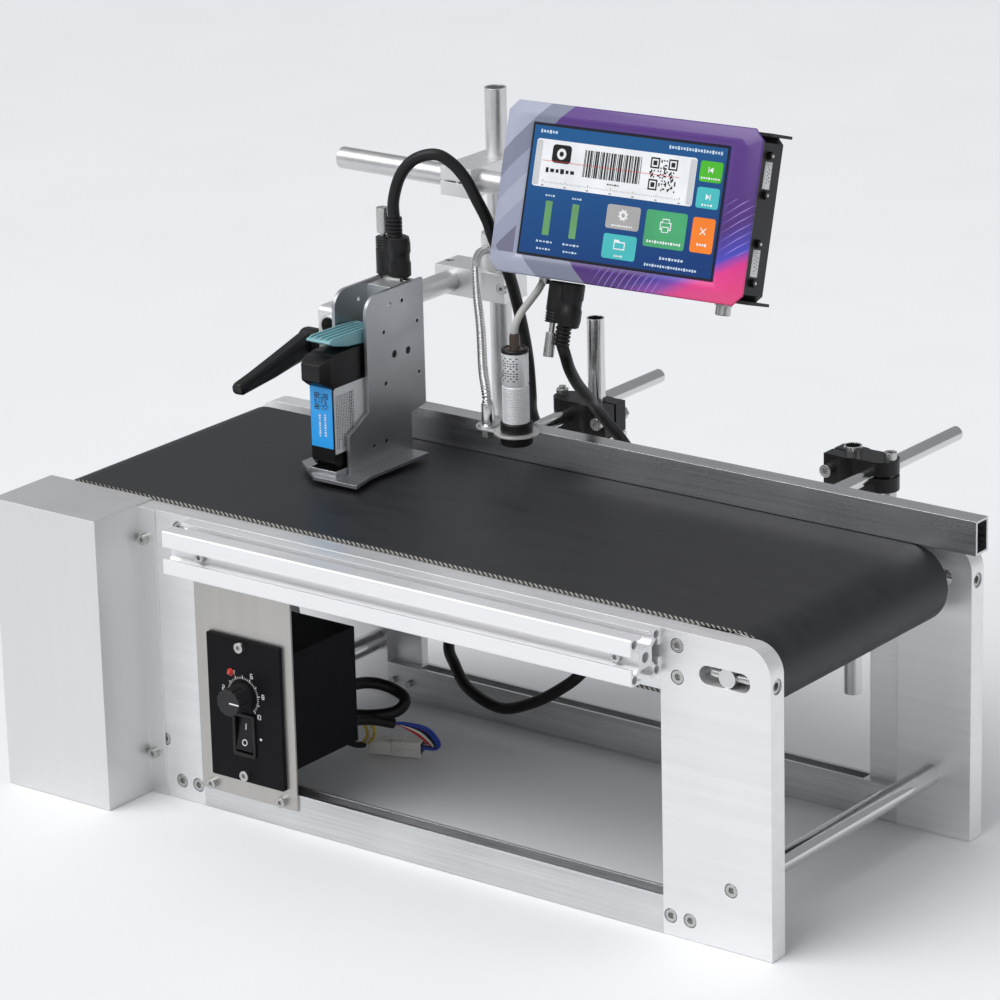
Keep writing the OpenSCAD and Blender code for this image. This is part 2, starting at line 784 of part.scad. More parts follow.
// Sheet-steel rear housing: a channel whose top and bottom flanges run past the side panel
module display_chassis() {
    black() on_display() difference() {
        union() {
            wall(bezel_t, display_t - bezel_t) chamfered(2 * side_x, display_h - 4, 6);
            for (s = [-1, 1]) translate([0, bezel_t, s * (display_h / 2 - 3) - 1])
                cube([side_x + 6, display_t - bezel_t, 2]);
        }
        wall(bezel_t - 1, display_t - bezel_t - 1) chamfered(2 * side_x - 4, display_h - 8, 5);
        for (z = port_z) slab(side_x - 5, 20) translate([side_port_y, z]) rounded(8, 17, 2);
        hang([plug_x, port_y, -display_h / 2 + 8]) cylinder(d = 9, h = 10);
        hang([round_x, port_y, -display_h / 2 + 8]) cylinder(d = 10, h = 10);
        hang([gland_x, port_y, -display_h / 2 + 8]) cylinder(d = 8, h = 10);
        for (x = [-24, 24], z = [-14, 14]) along_y([x, display_t - 5, z]) cylinder(d = 4, h = 8);
    }
}

// Turns a piece drawn up the Z axis so that it hangs down from a point
module hang(p) { translate(p) rotate([180, 0, 0]) children(); }

// Sockets on the housing, and the four screws of its bracket
module display_fittings() {
    steel() on_display() {
        for (z = port_z) {
            slab(side_x - 7, 7) translate([side_port_y, z]) rounded(8, 17, 2);
            for (s = [-1, 1]) along_x([side_x, side_port_y, z + s * 12.5])
                cylinder(d = 5, h = 2.5, $fn = 6);
        }
        hang([round_x, port_y, -display_h / 2 + 6]) cylinder(d = 10, h = 13);
        hang([round_x, port_y, -display_h / 2 + 2]) cylinder(d = 13, h = 3, $fn = 6);
        hang([gland_x, port_y, -display_h / 2 + 6]) cylinder(d = 8, h = 10);
        for (x = [-24, 24], z = [-14, 14]) translate([x, display_t + 3, z]) rotate([90, 0, 0])
            m4(6);
    }
}

module display_bracket() {
    black() difference() {
        union() {
            on_display() {
                wall(display_t, 3) square([64, 40], center = true);
                translate([0, 0, -screen_up]) wall(display_t, screen_back - display_t)
                    square([29, 24], center = true);
            }
            on_display_arm() along_x([-15, 0, 0]) cylinder(d = 26, h = 30);
        }
        on_display_arm() along_x([-20, 0, 0]) cylinder(d = tube_d + 0.1, h = 40);
        on_display() for (x = [-24, 24], z = [-14, 14]) along_y([x, display_t - 1, z])
            cylinder(d = 4, h = 6);
    }
}

// Moulded plug on the display's underside, with a ribbed strain relief
module display_plug() {
    black() on_display() {
        hang([plug_x, port_y, -display_h / 2 + 6]) cylinder(d = 9, h = 8);
        difference() {
            hang([plug_x, port_y, -display_h / 2 - 1]) linear_extrude(27) rounded(25, 14, 3);
            hang([plug_x - 8.3, port_y, -display_h / 2 - 15]) cylinder(d = 4.2, h = 20);
        }
        plug_tail([plug_x + 2, port_y, -display_h / 2 - 27]);
    }
}

// Ribbed tail of a plug, downwards from p
module plug_tail(p) {
    hang(p) {
        cylinder(d = 8, h = 14);
        for (z = [1 : 3 : 13]) translate([0, 0, z]) cylinder(d = 10.5, h = 1.5);
    }
}

module display_plug_screw() {
    steel() on_display() {
        hang([plug_x - 8.3, port_y, -display_h / 2 - 15.5]) cylinder(d = 4, h = 20);
        hang([plug_x - 8.3, port_y, -display_h / 2 - 35]) cylinder(d = 7, h = 16);
    }
}

// ---- print-head arm and sensor ----

module arm_clamp() {
    aluminium() difference() {
        translate([mast_x, mast_y, head_arm_z]) cross_clamp();
        translate([mast_x, mast_y, head_arm_z - 20]) cylinder(d = tube_d + 0.1, h = 40);
    }
}

module head_arm() {
    aluminium() along_y([head_arm_x, 20, head_arm_z])
        tube(tube_d - 0.05, tube_wall, mast_y + clamp_a / 2 - 17);
}

module arm_screws() {
    steel() translate([mast_x, mast_y, head_arm_z]) cross_clamp_screws();
}

module sensor_collar() {
    color([0.62, 0.62, 0.60]) translate([mast_x, mast_y, head_arm_z + clamp_h / 2]) difference() {
        cylinder(d = 24, h = 26);
        translate([0, 0, -1]) cylinder(d = tube_d + 0.1, h = 30);
        translate([0, 0, 17]) rotate([90, 0, 0]) cylinder(d = 6, h = 30);
    }
}

module sensor_gooseneck() {
    z0 = head_arm_z + clamp_h / 2 + 17;
    steel() {
        along_y([mast_x, mast_y - 16, z0]) cylinder(d = 6, h = 8);
        cable([[mast_x, mast_y - 14, z0], [mast_x, mast_y - 18, z0], [mast_x + 3, mast_y - 27, z0],
            [-110, 125, z0 - 4], [-97, 109, z0 - 20], [-84, 95, z0 - 37], [-66, 73, z0 - 55],
            [-54, 60, z0 - 64], [-49, 55, z0 - 74]], 6, 4, 12);
        translate([-49, 55, 235]) cylinder(d = 8.5, h = 16);
        translate([-49, 55, 228]) cylinder(d = 5, h = 8);
    }
}

module sensor_bracket() {
    stainless() difference() {
        translate([0, 0, 233.5]) linear_extrude(1.5) {
            translate([-49, sensor_y]) circle(8);
            translate([sensor_x, sensor_y]) circle(15);
            translate([-49, sensor_y - 8]) square([24, 16]);
        }
        translate([-49, 55, 220]) cylinder(d = 5, h = 30);
        translate([sensor_x, sensor_y, 220]) cylinder(d = 18, h = 30);
    }
}

module sensor() {
    color([0.75, 0.76, 0.77]) translate([sensor_x, sensor_y, 225.5]) {
        cylinder(d = 18, h = 66);
        translate([0, 0, 66]) cylinder(d = 16, h = 2);
        translate([0, 0, 68]) cylinder(d = 6, h = 8);
        translate([0, 0, 76]) cylinder(d = 5, h = 6);
    }
}

module sensor_nuts() {
    black() for (z = [226.5, 235]) translate([sensor_x, sensor_y, z]) difference() {
        cylinder(d = 21.5, h = 7);
        translate([0, 0, -1]) cylinder(d = 18, h = 9);
    }
}

// ---- print head ----

// Outline of a side sheet in Y-Z: slanted at the front foot, stepped at the back
module sheet_outline() {
    difference() {
        union() {
            polygon([[-12, sheet_z0], [54, sheet_z0], [54, 233.5], [70, 236], [70, sheet_z1],
                     [22, sheet_z1], [9.5, sheet_z1 - 12.5], [9.5, 245], [-12, 234]]);
            translate([22, sheet_z1 - 12.5]) circle(12.5);
        }
        for (p = [[35, 312.5], [28, 260], [14, 220.5], [27, 220.5]])
            translate(p) circle(d = 3);
        for (p = [[38, 278], [52.5, 277]]) translate(p) circle(d = 5);
        translate([latch_y, latch_z]) circle(d = 4);
        for (p = spacer_points) translate(p) circle(d = 4);
    }
}

module head_side_plates() {
    color([0.62, 0.63, 0.65]) for (x = sheet_x) slab(x, head_sheet) sheet_outline();
}

// Bars and bridge plate that hold the side sheets apart, and the latch's pin
module head_spacers() {
    steel() {
        difference() {
            slab(sheet_x[0] + head_sheet, head_gap)
                polygon([[44, 292], [46, 292], [46, 319], [70, 319], [70, 321], [44, 321]]);
            translate([head_x - 8.3, plug_y - 4.3, 310]) cube([14.6, 8.6, 20]);
        }
        for (p = spacer_points) {
            along_x([sheet_x[0] + head_sheet, p[0], p[1]]) cylinder(d = 7, h = head_gap);
            along_x([sheet_x[0], p[0], p[1]]) cylinder(d = 4, h = head_gap + 2 * head_sheet);
        }
        along_x([sheet_x[0], latch_y, latch_z]) cylinder(d = 4, h = head_gap + 2 * head_sheet);
    }
}

module head_shoe() {
    color([0.66, 0.67, 0.69]) difference() {
        translate([head_x, 0, 205.5]) linear_extrude(2.5)
            polygon([[-30.5, -8], [-3, -29], [33, -29], [28, -7], [29, 53], [-30.5, 53]]);
        translate([head_x - cartridge_w / 2 - 0.5, -22, 200]) cube([cartridge_w + 1, 36, 20]);
    }
}

module contact_carrier() {
    black() difference() {
        union() {
            translate([head_x - head_gap / 2, 48, 222]) cube([head_gap, 6, 16]);
            translate([head_x - head_gap / 2, 48, 237]) cube([head_gap, 16, 69]);
            translate([head_x - head_gap / 2, 48, 305]) cube([head_gap, 22, 13]);
        }
        for (p = spacer_points) along_x([head_x - 20, p[0], p[1]]) cylinder(d = 7, h = 40);
    }
}

module cartridge() {
    black() {
        slab(head_x - cartridge_w / 2, cartridge_w)
            polygon([[cartridge_y0, 218], [cartridge_y0 + 4, 213], [40, 213], [46, 219], [46, 291],
                     [cartridge_y0 + 4, 291], [cartridge_y0 - 2, 287], [cartridge_y0 - 10, 284.5],
                     [cartridge_y0 - 10, 275.5], [cartridge_y0, 270]]);
        slab(head_x - cartridge_w / 2 + 1.5, cartridge_w - 3)
            polygon([[cartridge_y0 + 4, 214], [cartridge_y0 + 5, 207], [6, 207], [8, 214]]);
    }
}

module latch() {
    color([0.36, 0.56, 0.60]) slab(head_x - 10, 20) difference() {
        union() {
            polygon([[latch_y, latch_z - 4], [latch_y, latch_z + 4], [latch_y - 12, latch_z + 5],
                     [latch_y - 49, latch_z + 5.5], [latch_y - 51, latch_z + 3.5],
                     [latch_y - 46, latch_z + 1], [latch_y - 32, latch_z - 2.5],
                     [latch_y - 16, latch_z - 4]]);
            translate([latch_y, latch_z]) circle(4.2);
        }
        translate([latch_y, latch_z]) circle(d = 4.1);
    }
}

module head_clamp() {
    aluminium() difference() {
        slab(sheet_x[0] - 22, 22) translate([34, head_arm_z - 5]) rounded(24, 34, 4);
        along_y([head_arm_x, 0, head_arm_z]) cylinder(d = tube_d + 0.05, h = 100);
        translate([head_arm_x - 0.75, 0, head_arm_z - 40]) cube([1.5, 100, 40]);
        against_x([sheet_x[0] + 1, lever_y, lever_z]) cylinder(d = 6.1, h = 40);
    }
}

module clamp_lever() {
    x0 = sheet_x[0] - 22.2;
    black() {
        against_x([x0, lever_y, lever_z]) cylinder(d = 18, h = 20);
        against_x([sheet_x[0] - 2, lever_y, lever_z]) cylinder(d = 6, h = 24);
        slab(x0 - 19, 13) polygon([[lever_y - 1, lever_z + 8.5], [lever_y + 2, lever_z - 8.7],
            [lever_y - 30, lever_z - 12], [lever_y - 75, lever_z - 20],
            [lever_y - 79, lever_z - 17], [lever_y - 78, lever_z - 10.5],
            [lever_y - 30, lever_z]]);
    }
}

module head_plug() {
    black() {
        translate([head_x - 8, plug_y - 4, sheet_z1 - 4.5]) cube([14, 8, 6]);
        difference() {
            translate([head_x - 4, plug_y, sheet_z1 + 0.2]) linear_extrude(25.3) rounded(27, 14, 3);
            translate([head_x - 13, plug_y, sheet_z1 + 9]) cylinder(d = 4.2, h = 20);
        }
        plug_tail([head_x - 3, plug_y, sheet_z1 + 39]);
    }
}

module head_plug_screw() {
    steel() translate([head_x - 13, plug_y, sheet_z1 + 9.5]) {
        cylinder(d = 4, h = 20);
        translate([0, 0, 19]) cylinder(d = 8, h = 17);
    }
}

module head_cable() {
    black() {
        translate([head_x - 3, plug_y, sheet_z1 + 39]) cylinder(d = 8, h = 3);
        cable([[head_x - 3, plug_y, 363.5], [head_x - 3, plug_y, 376], [-125, 66, 392],
            [-116, 70, 403], [-103, 75, 407], [-94, 80, 402], [-86, 85, 391], [-80, 90, 375],
            [-76, 95, 361]], 8, 4, 12);
    }
}

// Cables fixed to the frame: the head cable's loop behind and under the belt, the mains lead
// looped behind the speed controller, and the motor's lead with its connector
module frame_cables() {
    rear = face_y + 77;
    black() {
        cable([[-68, 106, 324], [-68, 114, 303], [-69, 122, 280], [-73, 132, 256],
            [-82, 146, 228], [-89, 156, 211], [-89, 164, 190], [-87, 163, 165], [-103, 148, 125],
            [-120, 120, 85], [-124, 102, 54], [-110, 90, 42], [-92, 82, 31], [-63, 78, 25],
            [-38, 79, 33], [-15, 82, 47], [2, 88, 63], [14, 112, 90], [14, 142, 125],
            [2, 162, 165], [-7, 164, 185], [-12, 155, 203], [-17, 145, 218], [-18, 132, 233],
            [-16, 120, 245]], 8, 3, 10);
        for (p = [[-120, 60], [-128, 46], [-108, 42]])
            along_y([p[0], rear, p[1]]) cylinder(d = 8, h = 3);
        cable([[-120, rear + 1.5, 60], [-122, -20, 56], [-118, 4, 52], [-106, 12, 51],
            [-93, 12, 46], [-98, 6, 38], [-112, -6, 36], [-124, -24, 40],
            [-128, rear + 1.5, 46]], 8, 4, 8);
        cable([[-108, rear + 1.5, 42], [-108, -24, 38], [-103, -6, 33], [-95, 6, 29]], 7, 4, 8);
        cable([[-96, 4, 29.5], [-89, 12, 24], [-84, 20, 16], [-88, 28, 8], [-94, 28, 7]], 5, 4, 8);
    }
    color([0.9, 0.9, 0.86]) translate([-110, 22, 0.2]) rotate(23)
        translate([-19, -7, 0]) cube([38, 14, 12]);
}

end_plates_right();
end_plates_left();
top_beams();
bottom_rails();
slot_profiles();
slider_bed();
cross_rods();
socket_screws();
conveyor_belt();
drive_bearings();
timing_belt();
gearmotor();
drive_cover();
panel_plate();
speed_controller();
frame_cables();
guide_clamps();
guide_posts();
post_brackets();
mast();
display_clamp();
display_arm();
drive_roller();
drive_pulley();
motor_pulley();
idler_axle();
idler_roller();
idler_bearings();
tension_screw_front();
tension_screw_rear();
speed_knob();
rocker_switch();
guide_rail();
guide_rods();
display_bezel();
display_screen();
display_chassis();
display_fittings();
display_bracket();
display_plug();
display_plug_screw();
arm_clamp();
head_arm();
arm_screws();
sensor_collar();
sensor_gooseneck();
sensor_bracket();
sensor();
sensor_nuts();
head_clamp();
head_side_plates();
head_shoe();
head_spacers();
contact_carrier();
cartridge();
head_plug();
head_cable();
clamp_lever();
latch();
head_plug_screw();
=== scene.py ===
"""Looks of the date code inkjet printer on its mini belt conveyor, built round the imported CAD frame.

Positions are in the CAD's own frame: origin in the middle of the conveyor's footprint, X along the belt, Y to
the back, Z up. Lengths are written in millimetres and turned into metres by the helpers below.
"""

import math

import bmesh
import bpy
from mathutils import Matrix, Vector


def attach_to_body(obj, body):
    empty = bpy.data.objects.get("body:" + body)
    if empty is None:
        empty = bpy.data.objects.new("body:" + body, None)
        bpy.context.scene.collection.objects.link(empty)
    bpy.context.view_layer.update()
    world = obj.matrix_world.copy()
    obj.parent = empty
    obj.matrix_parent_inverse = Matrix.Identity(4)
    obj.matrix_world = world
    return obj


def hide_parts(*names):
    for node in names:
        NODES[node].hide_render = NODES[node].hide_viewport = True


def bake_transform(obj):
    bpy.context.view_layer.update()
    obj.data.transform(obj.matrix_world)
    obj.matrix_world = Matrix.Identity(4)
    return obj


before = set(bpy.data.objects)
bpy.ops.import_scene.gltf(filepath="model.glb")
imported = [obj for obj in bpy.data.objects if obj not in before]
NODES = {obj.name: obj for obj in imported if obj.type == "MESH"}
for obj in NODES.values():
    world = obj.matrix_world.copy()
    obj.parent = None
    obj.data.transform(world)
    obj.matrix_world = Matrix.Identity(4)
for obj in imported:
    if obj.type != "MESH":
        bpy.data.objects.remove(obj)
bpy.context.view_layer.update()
MM = 0.001


def mm(*values):
    return Vector(values) * MM


# ---- Procedural materials ----


class Graph:
    """A small helper for writing a material's nodes as expressions."""

    def __init__(self, name):
        self.material = bpy.data.materials.new(name)
        self.material.use_nodes = True
        self.tree = self.material.node_tree
        self.tree.nodes.clear()
        self.out = self.tree.nodes.new("ShaderNodeOutputMaterial")
        self.shader = self.tree.nodes.new("ShaderNodeBsdfPrincipled")
        self.tree.links.new(self.shader.outputs[0], self.out.inputs[0])
        self.coord = self.tree.nodes.new("ShaderNodeTexCoord").outputs["Object"]

    def put(self, value, socket):
        if isinstance(value, bpy.types.NodeSocket):
            self.tree.links.new(value, socket)
        else:
            socket.default_value = value

    def set(self, **inputs):
        for key, value in inputs.items():
            self.put(value, self.shader.inputs[key.replace("_", " ")])

    def maths(self, operation, a, b=0.0):
        node = self.tree.nodes.new("ShaderNodeMath")
        node.operation = operation
        self.put(a, node.inputs[0])
        self.put(b, node.inputs[1])
        return node.outputs[0]

    def plus(self, a, b):
        return self.maths("ADD", a, b)

    def times(self, *factors):
        result = factors[0]
        for factor in factors[1:]:
            result = self.maths("MULTIPLY", result, factor)
        return result

    def normal(self):
        return self.tree.nodes.new("ShaderNodeNewGeometry").outputs["Normal"]

    def split(self, vector):
        node = self.tree.nodes.new("ShaderNodeSeparateXYZ")
        self.put(vector, node.inputs[0])
        return node.outputs[0], node.outputs[1], node.outputs[2]

    def noise(self, scale, stretch=(1, 1, 1), detail=3.0):
        mapping = self.tree.nodes.new("ShaderNodeMapping")
        mapping.inputs["Scale"].default_value = stretch
        self.put(self.coord, mapping.inputs[0])
        node = self.tree.nodes.new("ShaderNodeTexNoise")
        self.put(mapping.outputs[0], node.inputs["Vector"])
        node.inputs["Scale"].default_value = scale
        node.inputs["Detail"].default_value = detail
        node.inputs["Roughness"].default_value = 0.55
        return node.outputs[0]

    def remap(self, value, low, high, to_low=0.0, to_high=1.0):
        node = self.tree.nodes.new("ShaderNodeMapRange")
        for socket, v in zip(node.inputs, (value, low, high, to_low, to_high)):
            self.put(v, socket)
        return node.outputs[0]

    def mix(self, factor, a, b):
        node = self.tree.nodes.new("ShaderNodeMix")
        node.data_type = "RGBA"
        self.put(factor, node.inputs[0])
        self.put(a if isinstance(a, bpy.types.NodeSocket) else (*a, 1.0), node.inputs[6])
        self.put(b if isinstance(b, bpy.types.NodeSocket) else (*b, 1.0), node.inputs[7])
        return node.outputs[2]

    def bump(self, height, strength, distance, normal=None):
        node = self.tree.nodes.new("ShaderNodeBump")
        node.inputs["Strength"].default_value = strength
        node.inputs["Distance"].default_value = distance
        self.put(height, node.inputs["Height"])
        if normal is not None:
            self.put(normal, node.inputs["Normal"])
        return node.outputs[0]

    def soft_edge(self, radius):
        """Rounded-edge normal, and a mask that is 1 on the edges"""
        node = self.tree.nodes.new("ShaderNodeBevel")
        node.samples = 4
        node.inputs["Radius"].default_value = radius
        same = self.tree.nodes.new("ShaderNodeVectorMath")
        same.operation = "DOT_PRODUCT"
        self.put(node.outputs[0], same.inputs[0])
        self.put(self.normal(), same.inputs[1])
        return node.outputs[0], self.remap(same.outputs["Value"], 0.995, 0.86)


def shade(colour, factor):
    return tuple(min(1.0, c * factor) for c in colour)


def metal(name, colour, rough, grain, streak, edge, bump, cloud, metallic):
    """Metal with a grain that is fine across and long along the axis whose grain value is small"""
    g = Graph(name)
    fine = g.noise(900, grain, 4)
    wide = g.noise(120, grain, 3)
    smudge = g.noise(14, (1, 1, 1), 3)
    normal, edges = g.soft_edge(0.0005)
    tone = g.plus(g.times(fine, streak), g.times(wide, streak))
    tone = g.plus(tone, g.times(smudge, cloud))
    level = g.remap(tone, 0.3 * (2 * streak + cloud), 0.7 * (2 * streak + cloud))
    base = g.mix(level, shade(colour, 1 - streak - cloud), shade(colour, 1 + streak))
    # lighter edges: partly wear, partly a painted highlight where edges catch the light
    edge_wear_and_highlight = g.times(edges, g.remap(g.noise(260), 0.3, 0.6, 0.3, 1.0))
    base = g.mix(g.times(edge_wear_and_highlight, edge), base, shade(colour, 1.35))
    roughness = g.plus(rough, g.times(g.maths("SUBTRACT", fine, 0.5), 0.25))
    roughness = g.plus(roughness, g.times(g.maths("SUBTRACT", smudge, 0.5), 0.20))
    g.set(Base_Color=base, Metallic=metallic, Roughness=roughness,
          Normal=g.bump(fine, bump, 0.00006, normal))
    return g.material


def plastic(name, colour, rough, grain_scale, bump, vary, edge, gloss, coat):
    """Moulded plastic, paint or rubber: fine grain, slight colour drift, lighter edges that are partly wear
    and partly painted highlight
    """
    g = Graph(name)
    grain = g.noise(grain_scale, detail=2)
    drift = g.noise(22, detail=3)
    normal, edges = g.soft_edge(0.0005)
    base = g.mix(g.remap(drift, 0.3, 0.7), shade(colour, 1 - vary), shade(colour, 1 + vary))
    lighter = tuple(min(1.0, c + 0.03) for c in colour)
    # edges lightened: partly wear, partly a painted highlight
    base = g.mix(g.times(edges, edge), base, lighter)
    roughness = g.plus(rough, g.times(g.maths("SUBTRACT", drift, 0.5), 0.25))
    g.set(Base_Color=base, Roughness=roughness, Normal=g.bump(grain, bump, 0.00008, normal))
    g.set(Coat_Weight=coat, Specular_IOR_Level=gloss)
    return g.material


def print_film(name, colour, rough, glow):
    """Ink or a lit patch under a clear film, with a faint dot grain"""
    g = Graph(name)
    grain = g.noise(2600, detail=2)
    drift = g.noise(40, detail=2)
    base = g.mix(g.remap(drift, 0.3, 0.7), shade(colour, 0.93), shade(colour, 1.07))
    g.set(Base_Color=base, Roughness=g.remap(grain, 0.2, 0.8, rough - 0.05, rough + 0.05),
          Normal=g.bump(grain, 0.05, 0.00003))
    if glow:
        g.set(Emission_Color=base, Emission_Strength=glow)
    return g.material


PLY_PITCH = 0.0039  # spacing of the belt's woven edge, in metres


def belt_material():
    """Charcoal belt cover with woven plies showing on its two edges"""
    g = Graph("belt")
    x, _, z = g.split(g.coord)
    grain = g.noise(1500, detail=3)
    scuff = g.noise(18, (1.0, 5.0, 5.0), 4)
    across = g.split(g.normal())[1]
    edge = g.maths("GREATER_THAN", g.maths("ABSOLUTE", across), 0.7)
    cover = g.mix(g.remap(scuff, 0.35, 0.75), (0.0112, 0.0117, 0.0132), (0.0205, 0.0212, 0.0238))
    weave = g.maths("SINE", g.times(g.plus(x, z), 2 * math.pi / PLY_PITCH))
    ply = g.mix(g.remap(weave, -0.2, 0.5), (0.012, 0.012, 0.012), (0.40, 0.39, 0.37))
    g.set(Base_Color=g.mix(edge, cover, ply), Roughness=g.remap(scuff, 0.3, 0.8, 0.42, 0.56),
          Normal=g.bump(grain, 0.35, 0.00012), Specular_IOR_Level=0.42)
    return g.material


EVEN = (1, 1, 1)
GRAIN_X = (0.012, 1, 1)
GRAIN_Z = (1, 1, 0.012)

METALS = (
    # look, name, colour, roughness, grain, streaks, edge wear and painted edge highlight, bump, clouds,
    # metallic
    ("plate", "plate_aluminium", (0.88, 0.88, 0.885), 0.44, GRAIN_X, 0.05, 0.3, 0.08, 0.04, 0.8),
    ("rail", "rail_aluminium", (0.74, 0.745, 0.75), 0.36, GRAIN_X, 0.16, 0.4, 0.2, 0.14, 1.0),
    ("profile", "profile_aluminium", (0.93, 0.93, 0.94), 0.44, GRAIN_X, 0.02, 0.2, 0.03, 0.02, 0.7),
    ("guide", "guide_aluminium", (0.66, 0.665, 0.675), 0.30, GRAIN_X, 0.10, 0.4, 0.08, 0.08, 1.0),
    ("tube", "tube_aluminium", (0.74, 0.745, 0.75), 0.38, EVEN, 0.05, 0.2, 0.1, 0.16, 1.0),
    ("clamp", "clamp_aluminium", (0.82, 0.825, 0.83), 0.42, GRAIN_Z, 0.03, 0.5, 0.06, 0.04, 0.85),
    ("bright", "bright_steel", (0.70, 0.70, 0.70), 0.16, EVEN, 0.03, 0.3, 0.05, 0.05, 1.0),
    ("screw", "screw_steel", (0.56, 0.56, 0.55), 0.28, EVEN, 0.06, 0.6, 0.1, 0.10, 1.0),
    ("stainless", "cover_stainless", (0.78, 0.78, 0.775), 0.44, GRAIN_Z, 0.02, 0.3, 0.02, 0.03, 0.85),
    ("panel", "panel_stainless", (0.55, 0.535, 0.51), 0.40, GRAIN_Z, 0.05, 0.3, 0.10, 0.06, 1.0),
    ("sheet", "head_anodised", (0.46, 0.47, 0.49), 0.40, EVEN, 0.05, 1.0, 0.3, 0.04, 1.0),
    ("barrel", "sensor_barrel", (0.80, 0.81, 0.83), 0.34, EVEN, 0.01, 0.1, 0.0, 0.02, 0.35),
)
PLASTICS = (
    # look, name, colour, roughness, grain scale, bump, colour drift, edge wear and painted edge highlight,
    # gloss, clear coat
    ("black", "black_plastic", (0.0060, 0.0060, 0.0065), 0.36, 1500, 0.3, 0.18, 0.35, 0.32, 0.0),
    ("face", "controller_face", (0.0060, 0.0060, 0.0075), 0.55, 2400, 0.35, 0.1, 0.2, 0.12, 0.0),
    ("knob", "knob_grey", (0.017, 0.017, 0.018), 0.50, 1500, 0.3, 0.1, 0.35, 0.35, 0.0),
    ("cable", "cable_rubber", (0.006, 0.006, 0.0065), 0.46, 900, 0.25, 0.18, 0.35, 0.35, 0.0),
    ("paint", "black_paint", (0.007, 0.007, 0.0075), 0.38, 1900, 0.30, 0.18, 0.5, 0.35, 0.0),
    ("teal", "latch_teal", (0.19, 0.40, 0.44), 0.40, 1500, 0.25, 0.06, 0.35, 0.5, 0.0),
    ("motor", "motor_paint", (0.42, 0.43, 0.44), 0.45, 700, 0.35, 0.06, 0.35, 0.5, 0.0),
    ("white", "connector_white", (0.78, 0.78, 0.74), 0.42, 1300, 0.15, 0.04, 0.35, 0.5, 0.0),
    ("grey", "cable_grey", (0.42, 0.42, 0.41), 0.50, 1100, 0.2, 0.05, 0.35, 0.5, 0.0),
    ("brown", "sensor_cap", (0.050, 0.030, 0.022), 0.30, 1800, 0.1, 0.18, 0.35, 0.5, 0.0),
    ("red_wire", "wire_red", (0.55, 0.02, 0.015), 0.4, 1200, 0.1, 0.05, 0.35, 0.5, 0.0),
    ("blue_wire", "wire_blue", (0.02, 0.06, 0.40), 0.4, 1200, 0.1, 0.05, 0.35, 0.5, 0.0),
    ("yellow_wire", "wire_yellow", (0.70, 0.50, 0.03), 0.4, 1200, 0.1, 0.05, 0.35, 0.5, 0.0),
    ("lens", "indicator_red", (0.60, 0.02, 0.01), 0.15, 1200, 0.05, 0.05, 0.35, 0.5, 1.0),
    ("dark", "dark_insert", (0.010, 0.010, 0.010), 0.6, 1500, 0.2, 0.18, 0.35, 0.5, 0.0),
)
FILMS = (
    # name, colour, roughness, glow
    ("ink_white", (0.80, 0.80, 0.80), 0.45, 0.0),
    ("ink_grey", (0.30, 0.30, 0.31), 0.45, 0.0),
    ("ink_black", (0.010, 0.010, 0.012), 0.35, 0.0),
    ("label_blue", (0.02, 0.38, 0.92), 0.30, 0.0),
    ("label_white", (0.74, 0.76, 0.78), 0.40, 0.0),
    ("ui_white", (0.66, 0.67, 0.69), 0.16, 0.25),
    ("ui_tab", (0.48, 0.49, 0.50), 0.16, 0.20),
    ("ui_grey", (0.34, 0.33, 0.33), 0.16, 0.20),
    ("ui_green", (0.055, 0.30, 0.13), 0.16, 0.25),
    ("ui_bar", (0.11, 0.27, 0.11), 0.16, 0.25),
    ("ui_teal", (0.055, 0.39, 0.40), 0.16, 0.25),
    ("ui_orange", (0.70, 0.17, 0.02), 0.16, 0.30),
    ("ui_lime", (0.06, 0.38, 0.022), 0.16, 0.25),
    ("ui_red", (0.60, 0.06, 0.05), 0.16, 0.20),
    ("ui_black", (0.012, 0.012, 0.014), 0.16, 0.0),
    ("ui_pale", (0.46, 0.56, 0.67), 0.16, 0.20),
)

M = {"belt": belt_material()}
for look, *values in METALS:
    M[look] = metal(*values)
for look, *values in PLASTICS:
    M[look] = plastic(*values)
for name, *values in FILMS:
    M[name] = print_film(name, *values)

CAD_LOOKS = {
    "plate": ["end_plates_right", "end_plates_left", "top_beams"],
    "rail": ["bottom_rails", "slider_bed"],
    "guide": ["guide_rail"],
    "profile": ["slot_profiles"],
    "tube": ["mast", "display_arm", "head_arm"],
    "clamp": ["post_brackets", "display_clamp", "arm_clamp", "head_clamp", "drive_pulley", "sensor_collar",
              "head_spacers"],
    "bright": ["cross_rods", "drive_bearings", "guide_posts", "drive_roller", "motor_pulley", "idler_axle",
               "idler_roller", "idler_bearings", "guide_rods"],
    "screw": ["socket_screws", "tension_screw_front", "tension_screw_rear", "display_fittings",
              "display_plug_screw", "arm_screws", "head_plug_screw"],
    "stainless": ["drive_cover", "sensor_bracket"],
    "panel": ["panel_plate"],
    "belt": ["conveyor_belt"],
    "cable": ["timing_belt"],
    "motor": ["gearmotor"],
    "face": ["speed_controller"],
    "knob": ["speed_knob"],
    "black": ["guide_clamps", "rocker_switch", "contact_carrier"],
    "paint": ["display_chassis", "display_bracket"],
    "sheet": ["head_side_plates", "head_shoe"],
}


def dress(obj, material):
    obj.data.materials.clear()
    obj.data.materials.append(material)
    for polygon in obj.data.polygons:
        polygon.material_index = 0


for look, names in CAD_LOOKS.items():
    for name in names:
        dress(NODES[name], M[look])

# ---- Mesh helpers ----


